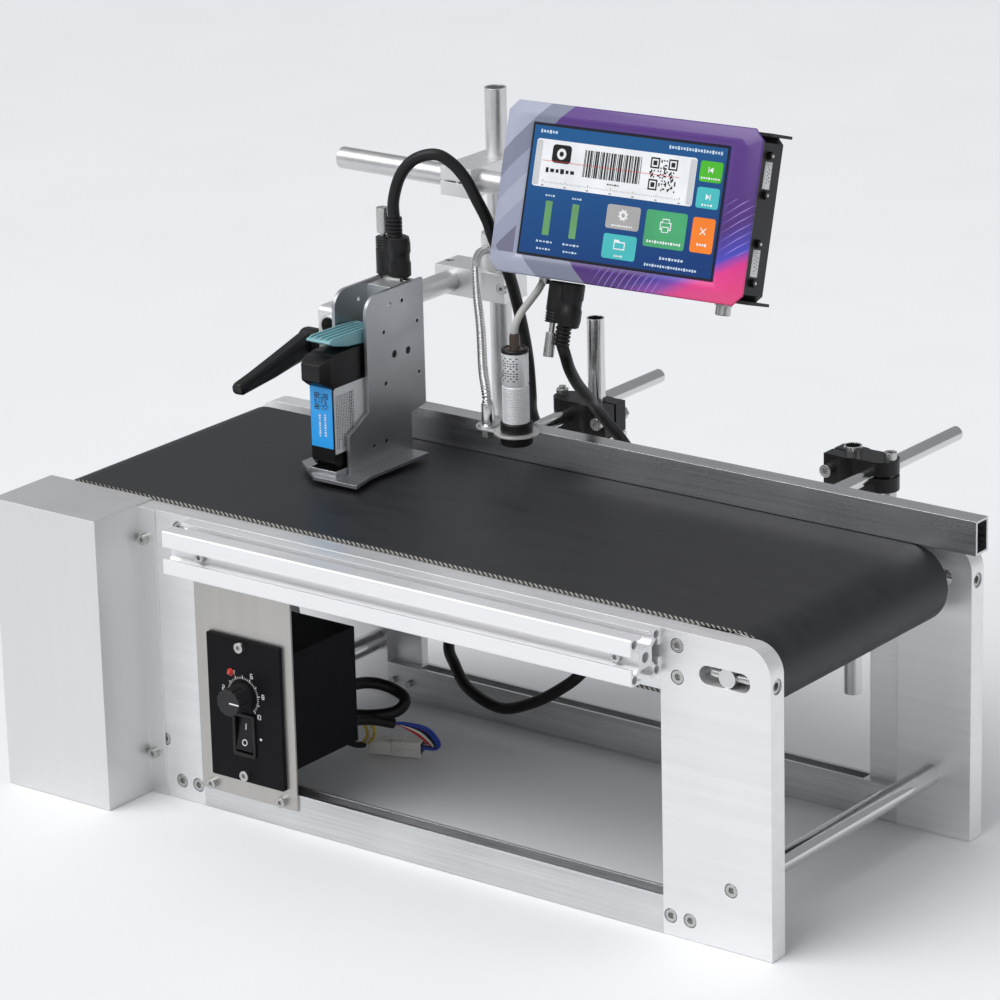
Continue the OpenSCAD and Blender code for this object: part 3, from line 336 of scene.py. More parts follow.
def piece(name, vertices, faces, material, smooth=None):
    """New mesh object from millimetre vertices; faces are turned outwards"""
    mesh = bpy.data.meshes.new(name)
    mesh.from_pydata([Vector(v) * MM for v in vertices], [], faces)
    work = bmesh.new()
    work.from_mesh(mesh)
    bmesh.ops.remove_doubles(work, verts=work.verts, dist=1e-7)
    bmesh.ops.recalc_face_normals(work, faces=work.faces)
    work.to_mesh(mesh)
    work.free()
    obj = bpy.data.objects.new(name, mesh)
    bpy.context.scene.collection.objects.link(obj)
    mesh.materials.append(M[material] if isinstance(material, str) else material)
    if smooth is not None:
        mesh.shade_smooth()
        mesh.set_sharp_from_angle(angle=math.radians(smooth))
    return obj


def merge(name, parts):
    """Joins parts into one object that keeps their materials"""
    target = parts[0]
    materials = []
    for part in parts:
        for material in part.data.materials:
            if material not in materials:
                materials.append(material)
    work = bmesh.new()
    for part in parts:
        start = len(work.faces)
        index = [materials.index(m) for m in part.data.materials]
        work.from_mesh(part.data)
        work.faces.ensure_lookup_table()
        for face in work.faces[start:]:
            face.material_index = index[face.material_index]
    mesh = bpy.data.meshes.new(name)
    work.to_mesh(mesh)
    work.free()
    for material in materials:
        mesh.materials.append(material)
    for part in parts[1:]:
        bpy.data.objects.remove(part)
    target.data = mesh
    target.name = name
    return target


def attach(obj, body, slot, *replaced):
    """Rides a piece on a body and hides the CAD nodes that it stands for; slot is not used"""
    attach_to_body(obj, body)
    if replaced:
        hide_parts(*replaced)


def at(x, y, z):
    """Matrix that moves to a point given in millimetres"""
    return Matrix.Translation(mm(x, y, z))


def place(obj, matrix):
    """Moves an object's mesh by a matrix whose translation is in metres"""
    obj.data.transform(matrix)
    if matrix.determinant() < 0:
        obj.data.flip_normals()
    return obj


def bevel(obj, width, segments=2, angle=40):
    """Rounds an object's edges sharper than angle, in the mesh itself"""
    work = bmesh.new()
    work.from_mesh(obj.data)
    edges = [e for e in work.edges if len(e.link_faces) == 2 and e.calc_face_angle(0) > math.radians(angle)]
    bmesh.ops.bevel(work, geom=edges, offset=width * MM, offset_type="OFFSET", segments=segments,
                    profile=0.6, affect="EDGES", clamp_overlap=True)
    work.to_mesh(obj.data)
    work.free()
    obj.data.shade_smooth()
    obj.data.set_sharp_from_angle(angle=math.radians(35))
    return obj


def rounded_box(name, size, centre, radius, material, segments=2):
    sx, sy, sz = (s / 2 for s in size)
    corners = [(x, y, z) for x in (-sx, sx) for y in (-sy, sy) for z in (-sz, sz)]
    corners = [tuple(c + o for c, o in zip(corner, centre)) for corner in corners]
    faces = [(0, 1, 3, 2), (4, 6, 7, 5), (0, 4, 5, 1), (2, 3, 7, 6), (0, 2, 6, 4), (1, 5, 7, 3)]
    return bevel(piece(name, corners, faces, material), radius, segments)


def band(sides, rings, closed=False):
    """Quads between neighbouring rings of points; closed also joins the last ring to the first"""
    faces = []
    for j in range(rings if closed else rings - 1):
        low, high = sides * j, sides * ((j + 1) % rings)
        faces += [(low + i, low + (i + 1) % sides, high + (i + 1) % sides, high + i) for i in range(sides)]
    return faces


def loft(name, rings, material, smooth=None):
    """Closed skin through rings of equal point counts"""
    n, last = len(rings[0]), len(rings[0]) * (len(rings) - 1)
    faces = band(n, len(rings)) + [tuple(range(n)), tuple(range(last, last + n))]
    return piece(name, [p for ring in rings for p in ring], faces, material, smooth)


def prism(name, outline, y0, y1, material):
    """Closed prism over an X-Z outline between two depths"""
    return loft(name, [[(x, y, z) for x, z in outline] for y in (y0, y1)], material)


def prism_x(name, outline, x0, x1, material, round_off=0.0, segments=3):
    """Closed prism over a Y-Z outline between two X positions, with its edges rounded"""
    made = loft(name, [[(x, y, z) for y, z in outline] for x in (x0, x1)], material)
    return bevel(made, round_off, segments, 25) if round_off else made


def rectangle(w, h, cx=0.0, cz=0.0):
    x0, x1, z0, z1 = cx - w / 2, cx + w / 2, cz - h / 2, cz + h / 2
    return [(x0, z0), (x1, z0), (x1, z1), (x0, z1)]


def rounded_outline(w, h, r, cx=0.0, cz=0.0, steps=4):
    points = []
    for k, (sx, sz) in enumerate([(1, 1), (-1, 1), (-1, -1), (1, -1)]):
        for i in range(steps + 1):
            a = math.radians(90 * k + 90 * i / steps)
            points.append((cx + sx * (w / 2 - r) + r * math.cos(a), cz + sz * (h / 2 - r) + r * math.sin(a)))
    return points


def disc_outline(r, cx=0.0, cz=0.0, sides=32):
    return [(cx + r * math.cos(2 * math.pi * i / sides), cz + r * math.sin(2 * math.pi * i / sides))
            for i in range(sides)]


def lathe(name, profile, material, sides=40, smooth=30, wobble=None):
    """Closed solid of revolution round Z; profile is (radius, height) pairs from bottom to top.
    wobble(angle) scales the radius, for knurls and flutes."""
    rings = []
    for r, z in profile:
        ring = []
        for i in range(sides):
            a = 2 * math.pi * i / sides
            k = wobble(a) if wobble else 1.0
            ring.append((r * k * math.cos(a), r * k * math.sin(a), z))
        rings.append(ring)
    return loft(name, rings, material, smooth)


def aim(position, direction):
    """Matrix that puts a piece made round Z at a millimetre position, with its Z along a direction"""
    turn = Vector(direction).normalized().to_track_quat("Z", "Y").to_matrix().to_4x4()
    return Matrix.Translation(Vector(position) * MM) @ turn


def smooth_run(points, step):
    """Catmull-Rom curve through the points, resampled about every step millimetres"""
    p = [Vector(q) for q in points]
    p = [2 * p[0] - p[1]] + p + [2 * p[-1] - p[-2]]
    curve = []
    for i in range(1, len(p) - 2):
        count = max(2, round((p[i + 1] - p[i]).length / step))
        for k in range(count):
            t = k / count
            curve.append(0.5 * (2 * p[i] + (p[i + 1] - p[i - 1]) * t
                                + (2 * p[i - 1] - 5 * p[i] + 4 * p[i + 1] - p[i + 2]) * t * t
                                + (3 * p[i] - p[i - 1] - 3 * p[i + 1] + p[i + 2]) * t * t * t))
    curve.append(p[-2])
    return curve


# ---- Display: printed bezel, lit screen, sockets ----

TILT, LEAN = 17.0, 1.4
ARM = (132.0, 376.0)  # the display arm's axis, Y and Z
SCREEN_TO_ARM, SCREEN_UP = 47.0, 3.0
SCREEN_W, SCREEN_H = 154.0, 86.0
HOUSING_W, HOUSING_H = 200.0, 113.0
SCREEN_X = 38.6
SIDE_X = HOUSING_W / 2 - 1.5  # the housing's right side
SIDE_PORT_Y, PORT_Y = 14.0, 18.0  # depths of the sockets on the side and of those below
ROUND_X, PLUG_X = 77.0, -45.0  # the round socket and the plug below the housing

tilt = math.radians(TILT)
screen_y = ARM[0] - SCREEN_TO_ARM * math.cos(tilt) + SCREEN_UP * math.sin(tilt)
screen_z = ARM[1] + SCREEN_TO_ARM * math.sin(tilt) + SCREEN_UP * math.cos(tilt)
DISPLAY = (at(SCREEN_X, screen_y, screen_z) @ Matrix.Rotation(-tilt, 4, "X")
           @ Matrix.Rotation(-math.radians(LEAN), 4, "Y"))


def film_material():
    """Printed bezel film: pale facets on the left, violet along the top, blue and pink at the lower right"""
    g = Graph("display_film")
    local = g.tree.nodes.new("ShaderNodeMapping")
    local.vector_type = "POINT"
    inverse = DISPLAY.inverted()
    local.inputs["Location"].default_value = inverse.to_translation()
    local.inputs["Rotation"].default_value = inverse.to_euler("XYZ")
    g.put(g.coord, local.inputs[0])
    x, _, z = g.split(local.outputs[0])

    def along(angle):
        """Distance from the centre of the film, in a direction given in degrees"""
        a = math.radians(angle)
        return g.plus(g.times(x, math.cos(a)), g.times(z, math.sin(a)))

    def side(angle, offset, soft=0.0002):
        """1 on the far side of a line, whose normal has an angle in degrees and an offset in millimetres"""
        return g.remap(along(angle), offset * MM - soft, offset * MM + soft)

    def other(mask):
        return g.maths("SUBTRACT", 1.0, mask)

    light, mid = (0.37, 0.39, 0.50), (0.30, 0.32, 0.43)
    slate, ash = (0.20, 0.215, 0.30), (0.16, 0.16, 0.24)
    violet, plum, blue = (0.085, 0.028, 0.21), (0.066, 0.020, 0.175), (0.060, 0.062, 0.48)
    pink, rose, stripe, edge_wear_and_highlight = (0.72, 0.035, 0.26), (0.82, 0.07, 0.22), (0.42, 0.30, 0.85), (0.75, 0.74, 0.85)
    colour = g.mix(side(-20, -112), mid, light)
    colour = g.mix(side(-45, -86.3), colour, slate)
    colour = g.mix(side(-45, -73.5), colour, mid)
    colour = g.mix(g.times(side(-45, -62), other(side(-45, -50))), colour, light)
    colour = g.mix(g.times(side(-45, -39), side(45, -95.5), other(side(0, -80))), colour, ash)
    below = other(side(90, -43))
    colour = g.mix(g.times(below, side(-45, -39)), colour, light)
    colour = g.mix(g.times(below, side(45, -82.7)), colour, slate)
    purple = g.mix(g.remap(z, -0.01, 0.05), plum, violet)
    purple = g.mix(side(-60, 58, 0.009), purple, blue)
    purple = g.mix(side(-62, 68, 0.004), purple, pink)
    purple = g.mix(side(-75, 66, 0.012), purple, rose)
    colour = g.mix(g.times(side(-45, -73.5), side(45, -55.2), side(0, -75)), colour, purple)
    # two families of fine slanted lines: angle, spacing, and the patch that each fills, in metres
    for angle, spacing, left, right, bottom, top in ((-38, 0.0042, -0.018, 0.040, -0.060, -0.044),
                                                     (-55, 0.0046, 0.078, 0.102, -0.026, 0.012)):
        wave = g.maths("COSINE", g.times(along(angle), 2 * math.pi / spacing))
        where = g.times(g.remap(x, left, left + 0.012), g.remap(x, right - 0.008, right, 1.0, 0.0),
                        g.remap(z, bottom, bottom + 0.003), g.remap(z, top - 0.003, top, 1.0, 0.0))
        line = g.times(g.remap(wave, 0.86, 0.96), g.times(where, 0.65))
        colour = g.mix(line, colour, stripe)
    grain = g.noise(1800, detail=2)
    normal, edges = g.soft_edge(0.0008)
    # edges lightened towards pale lavender: partly wear, partly a painted highlight
    colour = g.mix(g.times(edges, 0.25), colour, edge_wear_and_highlight)
    g.set(Base_Color=colour, Roughness=g.remap(grain, 0.2, 0.8, 0.30, 0.38), Coat_Weight=0.25,
          Coat_Roughness=0.2, Normal=g.bump(grain, 0.06, 0.00004, normal))
    return g.material


def screen_material():
    """Lit screen: blue, brighter at the upper left, with a broad diagonal facet"""
    g = Graph("screen")
    x, _, z = g.split(g.coord)
    across = g.remap(g.maths("SUBTRACT", z, g.times(x, 0.25)), 0.335, 0.425)
    colour = g.mix(across, (0.009, 0.034, 0.13), (0.014, 0.072, 0.19))
    grain = g.noise(3000, detail=1)
    g.set(Base_Color=colour, Roughness=g.remap(grain, 0.2, 0.8, 0.10, 0.16), Specular_IOR_Level=0.25,
          Emission_Color=colour, Emission_Strength=0.45)
    return g.material


def bezel():
    """Octagonal front frame with a sloped rim and a sunk window for the screen"""
    def octagon(w, h, c):
        w, h = w / 2, h / 2
        return [(-w + c, -h), (w - c, -h), (w, -h + c), (w, h - c),
                (w - c, h), (-w + c, h), (-w, h - c), (-w, -h + c)]

    def window(y, grow=0.0):
        w, h = SCREEN_W / 2 + grow, SCREEN_H / 2 + grow
        return [(-w, y, -h), (w, y, -h), (w, y, h), (-w, y, h)]

    # width, height, corner and depth of each ring, from the flat front to the back of the rim
    rings = [(181, 96.6, 5.5, 0.0), (184, 98.6, 6.0, 0.15), (198.6, 111.6, 6.6, 2.2),
             (HOUSING_W, HOUSING_H, 7, 2.9), (HOUSING_W, HOUSING_H, 7, 3.5)]
    vertices = [(x, y, z) for w, h, c, y in rings for x, z in octagon(w, h, c)]
    base = len(vertices)
    faces = band(8, len(rings)) + [tuple(range(base - 8, base))]
    vertices += window(0.0, 3.4) + window(0.9, 0.25) + window(2.0, 0.25)
    faces += [tuple(base + i for i in quad) for quad in band(4, 3)]
    faces.append(tuple(range(base + 8, base + 12)))
    # flat front between the octagon and the window: four sides and four corners
    for corner, (a, b) in enumerate([(7, 0), (1, 2), (3, 4), (5, 6)]):
        faces.append((a, b, base + corner))
        faces.append((b, (b + 1) % 8, base + (corner + 1) % 4, base + corner))
    return place(bevel(piece("bezel_shell", vertices, faces, M["film"]), 0.5, 2, 20), DISPLAY)


M["film"] = film_material()
M["screen"] = screen_material()
dress(NODES["display_screen"], M["screen"])
shell = bezel()
attach(shell, "display", "display_film", "display_bezel")


def screen_point(u, v):
    """Millimetres on the screen from shares of its width and height, from the upper left"""
    return (u - 0.5) * SCREEN_W, (0.5 - v) * SCREEN_H


LAYER = 0.12  # thickness of each printed layer
layers = []


def patch(outline, material, level=1):
    """Thin slab over an outline, level layers proud of the screen"""
    y = 0.4 - LAYER * level
    layers.append(prism("patch", outline, y, y + LAYER, material))


def tile(u0, u1, v0, v1, material, radius=1.8, level=1):
    """Rounded tile between shares of the screen's width and height"""
    x0, z1 = screen_point(u0, v0)
    x1, z0 = screen_point(u1, v1)
    radius = min(radius, (x1 - x0) / 2.01, (z1 - z0) / 2.01)
    patch(rounded_outline(x1 - x0, z1 - z0, radius, (x0 + x1) / 2, (z0 + z1) / 2), material, level)


def bar(x, z, w, h, material="ui_white", level=2, turn=0.0):
    """Small rectangle centred on a point, turned by an angle in degrees"""
    c, s = math.cos(math.radians(turn)), math.sin(math.radians(turn))
    patch([(x + a * c - b * s, z + a * s + b * c) for a, b in rectangle(w, h)], material, level)


def caption(u, v, width, count, material="ui_white", level=2, height=1.3):
    """A row of short dashes where a word would be"""
    x, z = screen_point(u, v)
    step = width / count
    for i in range(count):
        share = 0.55 + 0.2 * (i % 2)
        tall = 1.0 if i % 3 == 0 else 0.7
        bar(x - width / 2 + (i + 0.5) * step, z, step * share, height * tall, material, level)


CELLS, FINDER = 21, 7  # cells across the square code, and across each of its framed corners


def matrix_code(cx, cz, size, draw):
    """Square pattern of dark cells with three framed corners; the other cells follow a plain formula"""
    cell = size / CELLS
    for i in range(CELLS):
        for j in range(CELLS):
            a, b = min(i, CELLS - 1 - i), min(j, CELLS - 1 - j)
            framed = a <= FINDER and b <= FINDER and not (i > CELLS / 2 and j < CELLS / 2)
            dark = (i * i + 3 * j + i * j + (i * j) // 3) % 5 in (0, 3)
            if framed:
                border = (a in (0, FINDER - 1) and b < FINDER) or (b in (0, FINDER - 1) and a < FINDER)
                dark = border or (2 <= a <= 4 and 2 <= b <= 4)
            if dark:
                draw(cx + (i - (CELLS - 1) / 2) * cell, cz + (j - (CELLS - 1) / 2) * cell, cell * 0.98)


INK_LEVELS = (0.1335, 0.272)  # shares of the screen's width
BUTTONS = (  # left, right, top and bottom as shares of the screen, colour
    (0.433, 0.603, 0.535, 0.715, "ui_grey"),
    (0.433, 0.603, 0.755, 0.94, "ui_teal"),
    (0.633, 0.84, 0.535, 0.81, "ui_green"),
    (0.868, 0.98, 0.545, 0.805, "ui_orange"),
    (0.868, 0.98, 0.125, 0.28, "ui_lime"),
    (0.868, 0.98, 0.32, 0.475, "ui_teal"),
)
CAPTIONS = [  # place as shares of the screen, length, dashes, colour, layer and height
    (0.518, 0.69, 17, 9), (0.518, 0.915, 7, 4),
    (0.924, 0.253, 15, 8), (0.924, 0.45, 9, 4),
    (0.736, 0.77, 27, 13, "ui_white", 2, 1.8),
    (0.924, 0.745, 8, 4, "ui_white", 2, 1.8),
    (0.785, 0.885, 19, 8, "ui_pale", 2, 1.9),
    (0.785, 0.945, 41, 20, "ui_pale", 2, 1.9),
    (0.835, 0.058, 42, 19, "ui_pale", 1, 2.3),
    (0.085, 0.058, 14, 6, "ui_pale", 1, 2.3),
]
for level_u in INK_LEVELS:
    CAPTIONS += [(level_u, 0.535, 8, 4, "ui_pale"), (level_u, 0.885, 14, 5, "ui_pale"),
                 (level_u, 0.94, 14 * 0.85, 5, "ui_pale")]


def screen_contents():
    """Preview panel with end tabs, ruler, bars and a cell pattern; ink levels, buttons, captions and icons"""
    tile(0.03, 0.85, 0.115, 0.475, "ui_white", 2.0)
    tile(0.032, 0.062, 0.125, 0.465, "ui_tab", 1.5, 2)
    tile(0.818, 0.848, 0.125, 0.465, "ui_tab", 1.5, 2)
    for i in range(61):
        x, z = screen_point(0.085 + 0.70 * i / 60, 0.437)
        bar(x, z + (0.5 if i % 10 == 0 else 0.0), 0.28, 1.7 if i % 10 == 0 else 0.7, "ui_black", 2)
    for i in range(7):
        caption(0.085 + 0.70 * i / 6, 0.463, 1.8, 2, "ui_black", 2, 0.9)
    x, z = screen_point(0.165, 0.215)
    patch(rounded_outline(15, 12, 2.4, x, z), "ui_black", 2)
    patch(disc_outline(3.6, x, z), "ui_white", 3)
    patch(disc_outline(1.7, x, z, 20), "ui_black", 4)
    caption(0.165, 0.345, 24, 6, "ui_black", 2, 3.2)
    x, z = screen_point(0.284, 0.262)
    step = 0.0
    for i in range(30):
        width = 0.45 + 0.40 * ((i * 7 + i * i) % 4)
        bar(x + step + width / 2, z, width, 17.5, "ui_black", 2)
        step += width + 0.35 + 0.34 * ((i * 5) % 3)
    caption(0.445, 0.395, 10, 5, "ui_black", 2, 1.0)
    x, z = screen_point(0.688, 0.27)
    matrix_code(x, z, 21, lambda a, b, s: bar(a, b, s, s, "ui_black", 2))
    x, z = screen_point(0.42, 0.275)
    bar(x, z, 108, 0.25, "ui_red", 3)
    for u in INK_LEVELS:
        tile(u - 0.0175, u + 0.0175, 0.575, 0.835, "ui_bar", 0.2)
    for button in BUTTONS:
        tile(*button)
    for words in CAPTIONS:
        caption(*words)
    # icons: gear, folder, printer, cross and two arrows
    x, z = screen_point(0.518, 0.608)
    gear = []
    for i in range(32):
        r = 3.9 if i % 4 in (1, 2) else 2.9
        gear.append((x + r * math.cos(2 * math.pi * i / 32), z + r * math.sin(2 * math.pi * i / 32)))
    patch(gear, "ui_white", 2)
    patch(disc_outline(1.35, x, z, 20), "ui_grey", 3)
    x, z = screen_point(0.518, 0.835)
    folder = ((-4.4, -2.8), (4.4, -2.8), (4.4, 2.4), (0.2, 2.4), (-0.8, 3.5), (-4.4, 3.5))
    patch([(x + dx, z + dz) for dx, dz in folder], "ui_white", 2)
    bar(x, z - 0.2, 7.2, 3.6, "ui_teal", 3)
    x, z = screen_point(0.736, 0.645)
    for w, h, dz, material, level in ((8.6, 5.2, 0.0, "ui_white", 2), (7.2, 3.6, 0.1, "ui_green", 3),
                                      (5.4, 2.6, 3.4, "ui_white", 2), (4.4, 1.8, 3.2, "ui_green", 3),
                                      (5.4, 3.8, -2.3, "ui_white", 4), (4.2, 2.7, -2.3, "ui_green", 5)):
        bar(x, z + dz, w, h, material, level)
    x, z = screen_point(0.924, 0.645)
    bar(x, z, 6.0, 0.7, "ui_white", 2, 45)
    bar(x, z, 6.0, 0.7, "ui_white", 3, -45)
    for v, way in ((0.19, -1), (0.39, 1)):
        x, z = screen_point(0.924, v)
        patch([(x + 1.5 * way, z), (x - 1.5 * way, z + 1.9), (x - 1.5 * way, z - 1.9)], "ui_white", 2)
        bar(x + 1.9 * way, z, 0.6, 3.8, "ui_white", 2)


MARGIN = 1.3  # black margin of the panel, drawn as four strips
screen_contents()
for way in (1, -1):
    bar(0, way * (SCREEN_H - MARGIN) / 2, SCREEN_W, MARGIN, "ui_black", 1)
    bar(way * (SCREEN_W - MARGIN) / 2, 0, MARGIN, SCREEN_H - 2 * MARGIN, "ui_black", 1)
picture = place(merge("screen_contents", layers), DISPLAY)
attach(picture, "display", "screen_glass")


def side_socket(z):
    """Nine-way socket on the housing's side: pale insert, two rows of contacts, rim and two studs"""
    spot = (SIDE_X, SIDE_PORT_Y, z)
    parts = [rounded_box("insert", (1.2, 4.6, 12.6), spot, 0.5, "label_white")]
    for row, count in ((-1, 5), (1, 4)):
        for i in range(count):
            hole = lathe("hole", [(0.42, 0.0), (0.42, 0.5)], "dark", 12)
            centre = (SIDE_X + 0.3, SIDE_PORT_Y + 0.95 * row, z + (i - (count - 1) / 2) * 2.4)
            parts.append(place(hole, aim(centre, (1, 0, 0))))
    parts.append(rounded_box("rim", (0.7, 8.4, 17.6), spot, 0.3, "screw"))
    for offset in (-12.5, 12.5):
        for radius, length, look in ((2.75, 2.6, "black"), (1.0, 2.8, "screw")):
            stud = lathe("stud", [(radius, 0.0), (radius, length)], look, 24)
            parts.append(place(stud, aim((SIDE_X, SIDE_PORT_Y, z + offset), (1, 0, 0))))
    return parts


sockets = place(merge("side_sockets", side_socket(28) + side_socket(-28)), DISPLAY)
attach(sockets, "display", "screw_steel")

# threaded round socket under the housing
thread = [(4.6, 0.0), (4.6, 0.4)]
for i in range(8):
    thread += [(4.9, 0.8 + i * 1.0), (4.55, 1.3 + i * 1.0)]
thread += [(4.2, 9.0), (3.3, 9.0), (3.3, 7.6)]
round_socket = lathe("round_socket", thread, "screw", 40, 25)
place(round_socket, DISPLAY @ aim((ROUND_X, PORT_Y, -HOUSING_H / 2 + 1.6), (0, 0, -1)))
attach(round_socket, "display", "screw_steel")


# ---- Cables ----


def nearest(curve, point):
    target = Vector(point)
    return min(range(len(curve)), key=lambda i: (curve[i] - target).length)


def skin(name, curve, radius, material, sides=20, ridge=None):
    """Closed round tube along a finished curve; ridge(distance) adds to the radius"""
    last = len(curve) - 1
    tangent = [(curve[min(i + 1, last)] - curve[max(i - 1, 0)]).normalized() for i in range(last + 1)]
    angles = [2 * math.pi * k / sides for k in range(sides)]
    side = tangent[0].cross(Vector((0.83, 0.41, 0.38))).normalized()
    rings, travelled = [], 0.0
    for i, centre in enumerate(curve):
        if i:
            travelled += (centre - curve[i - 1]).length
        side = (side - tangent[i] * side.dot(tangent[i])).normalized()
        up = tangent[i].cross(side)
        r = radius + (ridge(travelled) if ridge else 0.0)
        rings.append([centre + side * (r * math.cos(a)) + up * (r * math.sin(a)) for a in angles])
    return loft(name, rings, material, 50)


def sweep(name, points, radius, material, step=2.0, sides=20, ridge=None):
    """Tube along the smooth curve through some points"""
    return skin(name, smooth_run(points, step), radius, material, sides, ridge)


def cable_sections(points, radius, material, sections):
    """One smooth cable cut into sections: (name, end point, body) or (name, end point, body, next body)"""
    curve = smooth_run(points, 2.0)
    start = 0
    made = []
    for name, end_point, *bodies in sections:
        end = nearest(curve, end_point)
        part = skin(name, curve[max(start - 1, 0):end + 1], radius, material)
        if len(bodies) == 1:
            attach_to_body(part, bodies[0])
        else:
            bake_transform(part)
        made.append(part)
        start = end
    return made


HEAD_X, PLUG_Y = -127.0, 64.0  # the print head's middle and its plug's depth
MAST_X, MAST_Y = -120.5, 165.0
# the cable's way from the head's plug, over the arm, down behind the belt, back up and to the display's plug
MAIN_RUN = [
    (-130, 64, 361), (-130, 64, 375), (-125, 66, 392), (-116, 70, 403), (-103, 75, 407), (-94, 80, 402),
    (-86, 85, 391), (-80, 90, 375), (-76, 95, 361), (-74, 98, 349), (-68, 106, 324), (-68, 114, 303),
    (-69, 122, 280), (-73, 132, 256), (-82, 146, 228), (-89, 156, 211), (-89, 164, 190), (-87, 163, 165),
    (-103, 148, 125), (-120, 120, 85), (-124, 102, 54), (-110, 90, 42), (-92, 82, 31), (-63, 78, 25),
    (-38, 79, 33), (-15, 82, 47), (2, 88, 63), (14, 112, 90), (14, 142, 125), (2, 162, 165), (-7, 164, 185),
    (-12, 155, 203), (-17, 145, 218), (-18, 130, 235), (-8.8, 113, 244.9), (-6.2, 97, 259.6),
    (-2.8, 84, 273.8), (-1, 77.5, 284.6), (-3, 76.3, 293),
]
main_cable = cable_sections(
    MAIN_RUN, 4.0, "cable",
    [("head_cable_loop", (-103, 75, 407), "head"),
     ("head_cable_to_arm", (-80, 90, 375), "head", "arm"),
     ("head_cable_to_frame", (-68, 114, 303), "arm", "frame"),
     ("cable_under_belt", (-17, 145, 218), "frame"),
     ("cable_to_display", MAIN_RUN[-1], "frame", "display")])
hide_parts("head_cable")

SENSOR_RUN = [(-25.5, 55, 299), (-25.4, 55.8, 306), (-25, 61.5, 313.5), (-24.5, 71, 319.5), (-24.2, 80, 325),
              (-24.1, 86, 330)]
cable_sections(SENSOR_RUN, 2.5, "grey", [("sensor_lead_low", SENSOR_RUN[3], "arm", "frame"),
                                         ("sensor_lead_high", SENSOR_RUN[-1], "frame", "display")])

REAR = -45.5  # just inside the rear face of the speed controller
leads = [
    sweep("lead", [(-120, REAR, 60), (-121, -24, 59), (-117, 2, 56), (-105, 12, 52), (-93, 13, 46),
                   (-95, 6, 39), (-108, -6, 37), (-122, -24, 41), (-128, REAR, 46)], 4.0, "cable"),
    sweep("lead", [(-108, REAR, 42), (-108, -24, 39), (-104, -8, 35), (-96, 4, 30.5)], 3.5, "cable"),
    sweep("lead", [(-132, REAR, 30), (-133, -26, 27), (-130, -10, 16), (-128, 2, 9), (-126.5, 9, 7)],
          2.2, "cable"),
]
WIRE = {"radius": 1.0, "sides": 12}
for i, ink in enumerate(("red_wire", "white", "cable", "blue_wire", "blue_wire")):
    s = i - 2
    path = [(-98 + 0.5 * s, 1, 31), (-92 + 0.6 * s, 9 + 0.5 * s, 28.5 + 0.3 * i),
            (-84 + 1.6 * s, 19 + 1.2 * s, 21 + 0.8 * i), (-80.5 + 1.6 * s, 27 + 0.9 * s, 12),
            (-84 + 0.8 * s, 31 - 0.4 * s, 7.5 - 0.3 * i), (-90, 30 - 1.9 * s, 6.5), (-95, 28 - 1.9 * s, 6.5)]
    leads.append(sweep("wire", path, material=ink, **WIRE))
for i, ink in enumerate(("yellow_wire", "white", "yellow_wire")):
    path = [(-114 + 4 * i, -14, 38), (-112 + 4 * i, -8, 30), (-116 + 3 * i, 0, 20), (-124 + 2 * i, 6, 11),
            (-129, 13 + 2 * i, 7), (-124, 15 + 2 * i, 7)]
    leads.append(sweep("wire", path, material=ink, **WIRE))


def connector():
    """White latched housing on the table: a wide half and a narrower half pushed together"""
    boxes = (
        ((20, 14, 11), (9, 0, 5.7), 0.7, "white"),  # wide half
        ((17, 12.4, 9.6), (-9, 0, 5.3), 0.6, "white"),  # narrow half
        ((2.4, 14.6, 11.6), (18, 0, 5.9), 0.5, "white"),  # collar
        ((11, 4.2, 1.8), (2, 0, 11.8), 0.5, "white"),  # latch bar
        ((2, 4.2, 2.4), (-4.2, 0, 11.4), 0.4, "white"),  # latch step
        # open end: a thin dark slab, painted shade standing in for the housing's shaded mouth
        ((0.3, 10.6, 7.4), (19.25, 0, 5.9), 0.1, "dark"),  # open end
        ((13, 0.8, 2.0), (8, -7.1, 5.5), 0.3, "white"),  # side ribs
        ((13, 0.8, 2.0), (8, 7.1, 5.5), 0.3, "white"),
    )
    joined = merge("connector", [rounded_box("box", *box) for box in boxes])
    return place(joined, at(-110, 22, 0) @ Matrix.Rotation(math.radians(23), 4, "Z"))


lead_set = merge("controller_leads", leads + [connector()])
attach(lead_set, "frame", "cable_rubber", "frame_cables")

# ---- Sensor with its gooseneck and collar ----

SENSOR = (-25.5, 55.0)  # the sensor's axis, X and Y
THREAD_TOP, THREAD_PITCH = 266.0, 1.2


def sensor_barrel():
    """Threaded M18 barrel with a plain upper third, end rings, a strain relief and printed marks"""
    profile = [(7.6, 225.5), (8.6, 226.0)]
    z = 226.4
    while z < THREAD_TOP:
        profile += [(9.0, z), (9.0, z + 0.25), (8.35, z + 0.62), (8.35, z + 0.85)]
        z += THREAD_PITCH
    profile += [(8.75, 268.0), (8.95, 268.6), (8.95, 289.0), (8.4, 289.4)]
    ring = [(8.4, 289.3), (9.1, 289.5), (9.1, 291.2), (8.5, 291.8), (7.2, 292.0), (7.0, 291.0)]
    cap = [(7.0, 290.6), (6.9, 291.4), (3.6, 292.0), (3.5, 292.6), (3.4, 300.0), (2.9, 301.5), (2.6, 302.0)]
    parts = [lathe("barrel", profile, "barrel", 56, 35), lathe("ring", ring, "black", 48),
             lathe("cap", cap, "brown", 40)]
    for row in range(10):
        for k in range(9):
            if (row * 3 + k * k) % 4 == 0:
                continue
            size = (0.9 + 0.5 * ((k + row) % 2), 0.12, 0.75)
            mark = rounded_box("mark", size, (0, -9.0, 271.5 + 1.7 * row), 0.05, "ink_black", 1)
            parts.append(place(mark, Matrix.Rotation(math.radians(13 * k - 60), 4, "Z")))
    disc = lathe("disc", [(2.6, 0), (2.6, 0.12)], "ink_grey", 32)
    parts.append(place(disc, aim((-6.35, -6.35, 274.5), (-1, -1, 0))))
    return place(merge("sensor_barrel", parts), at(*SENSOR, 0))


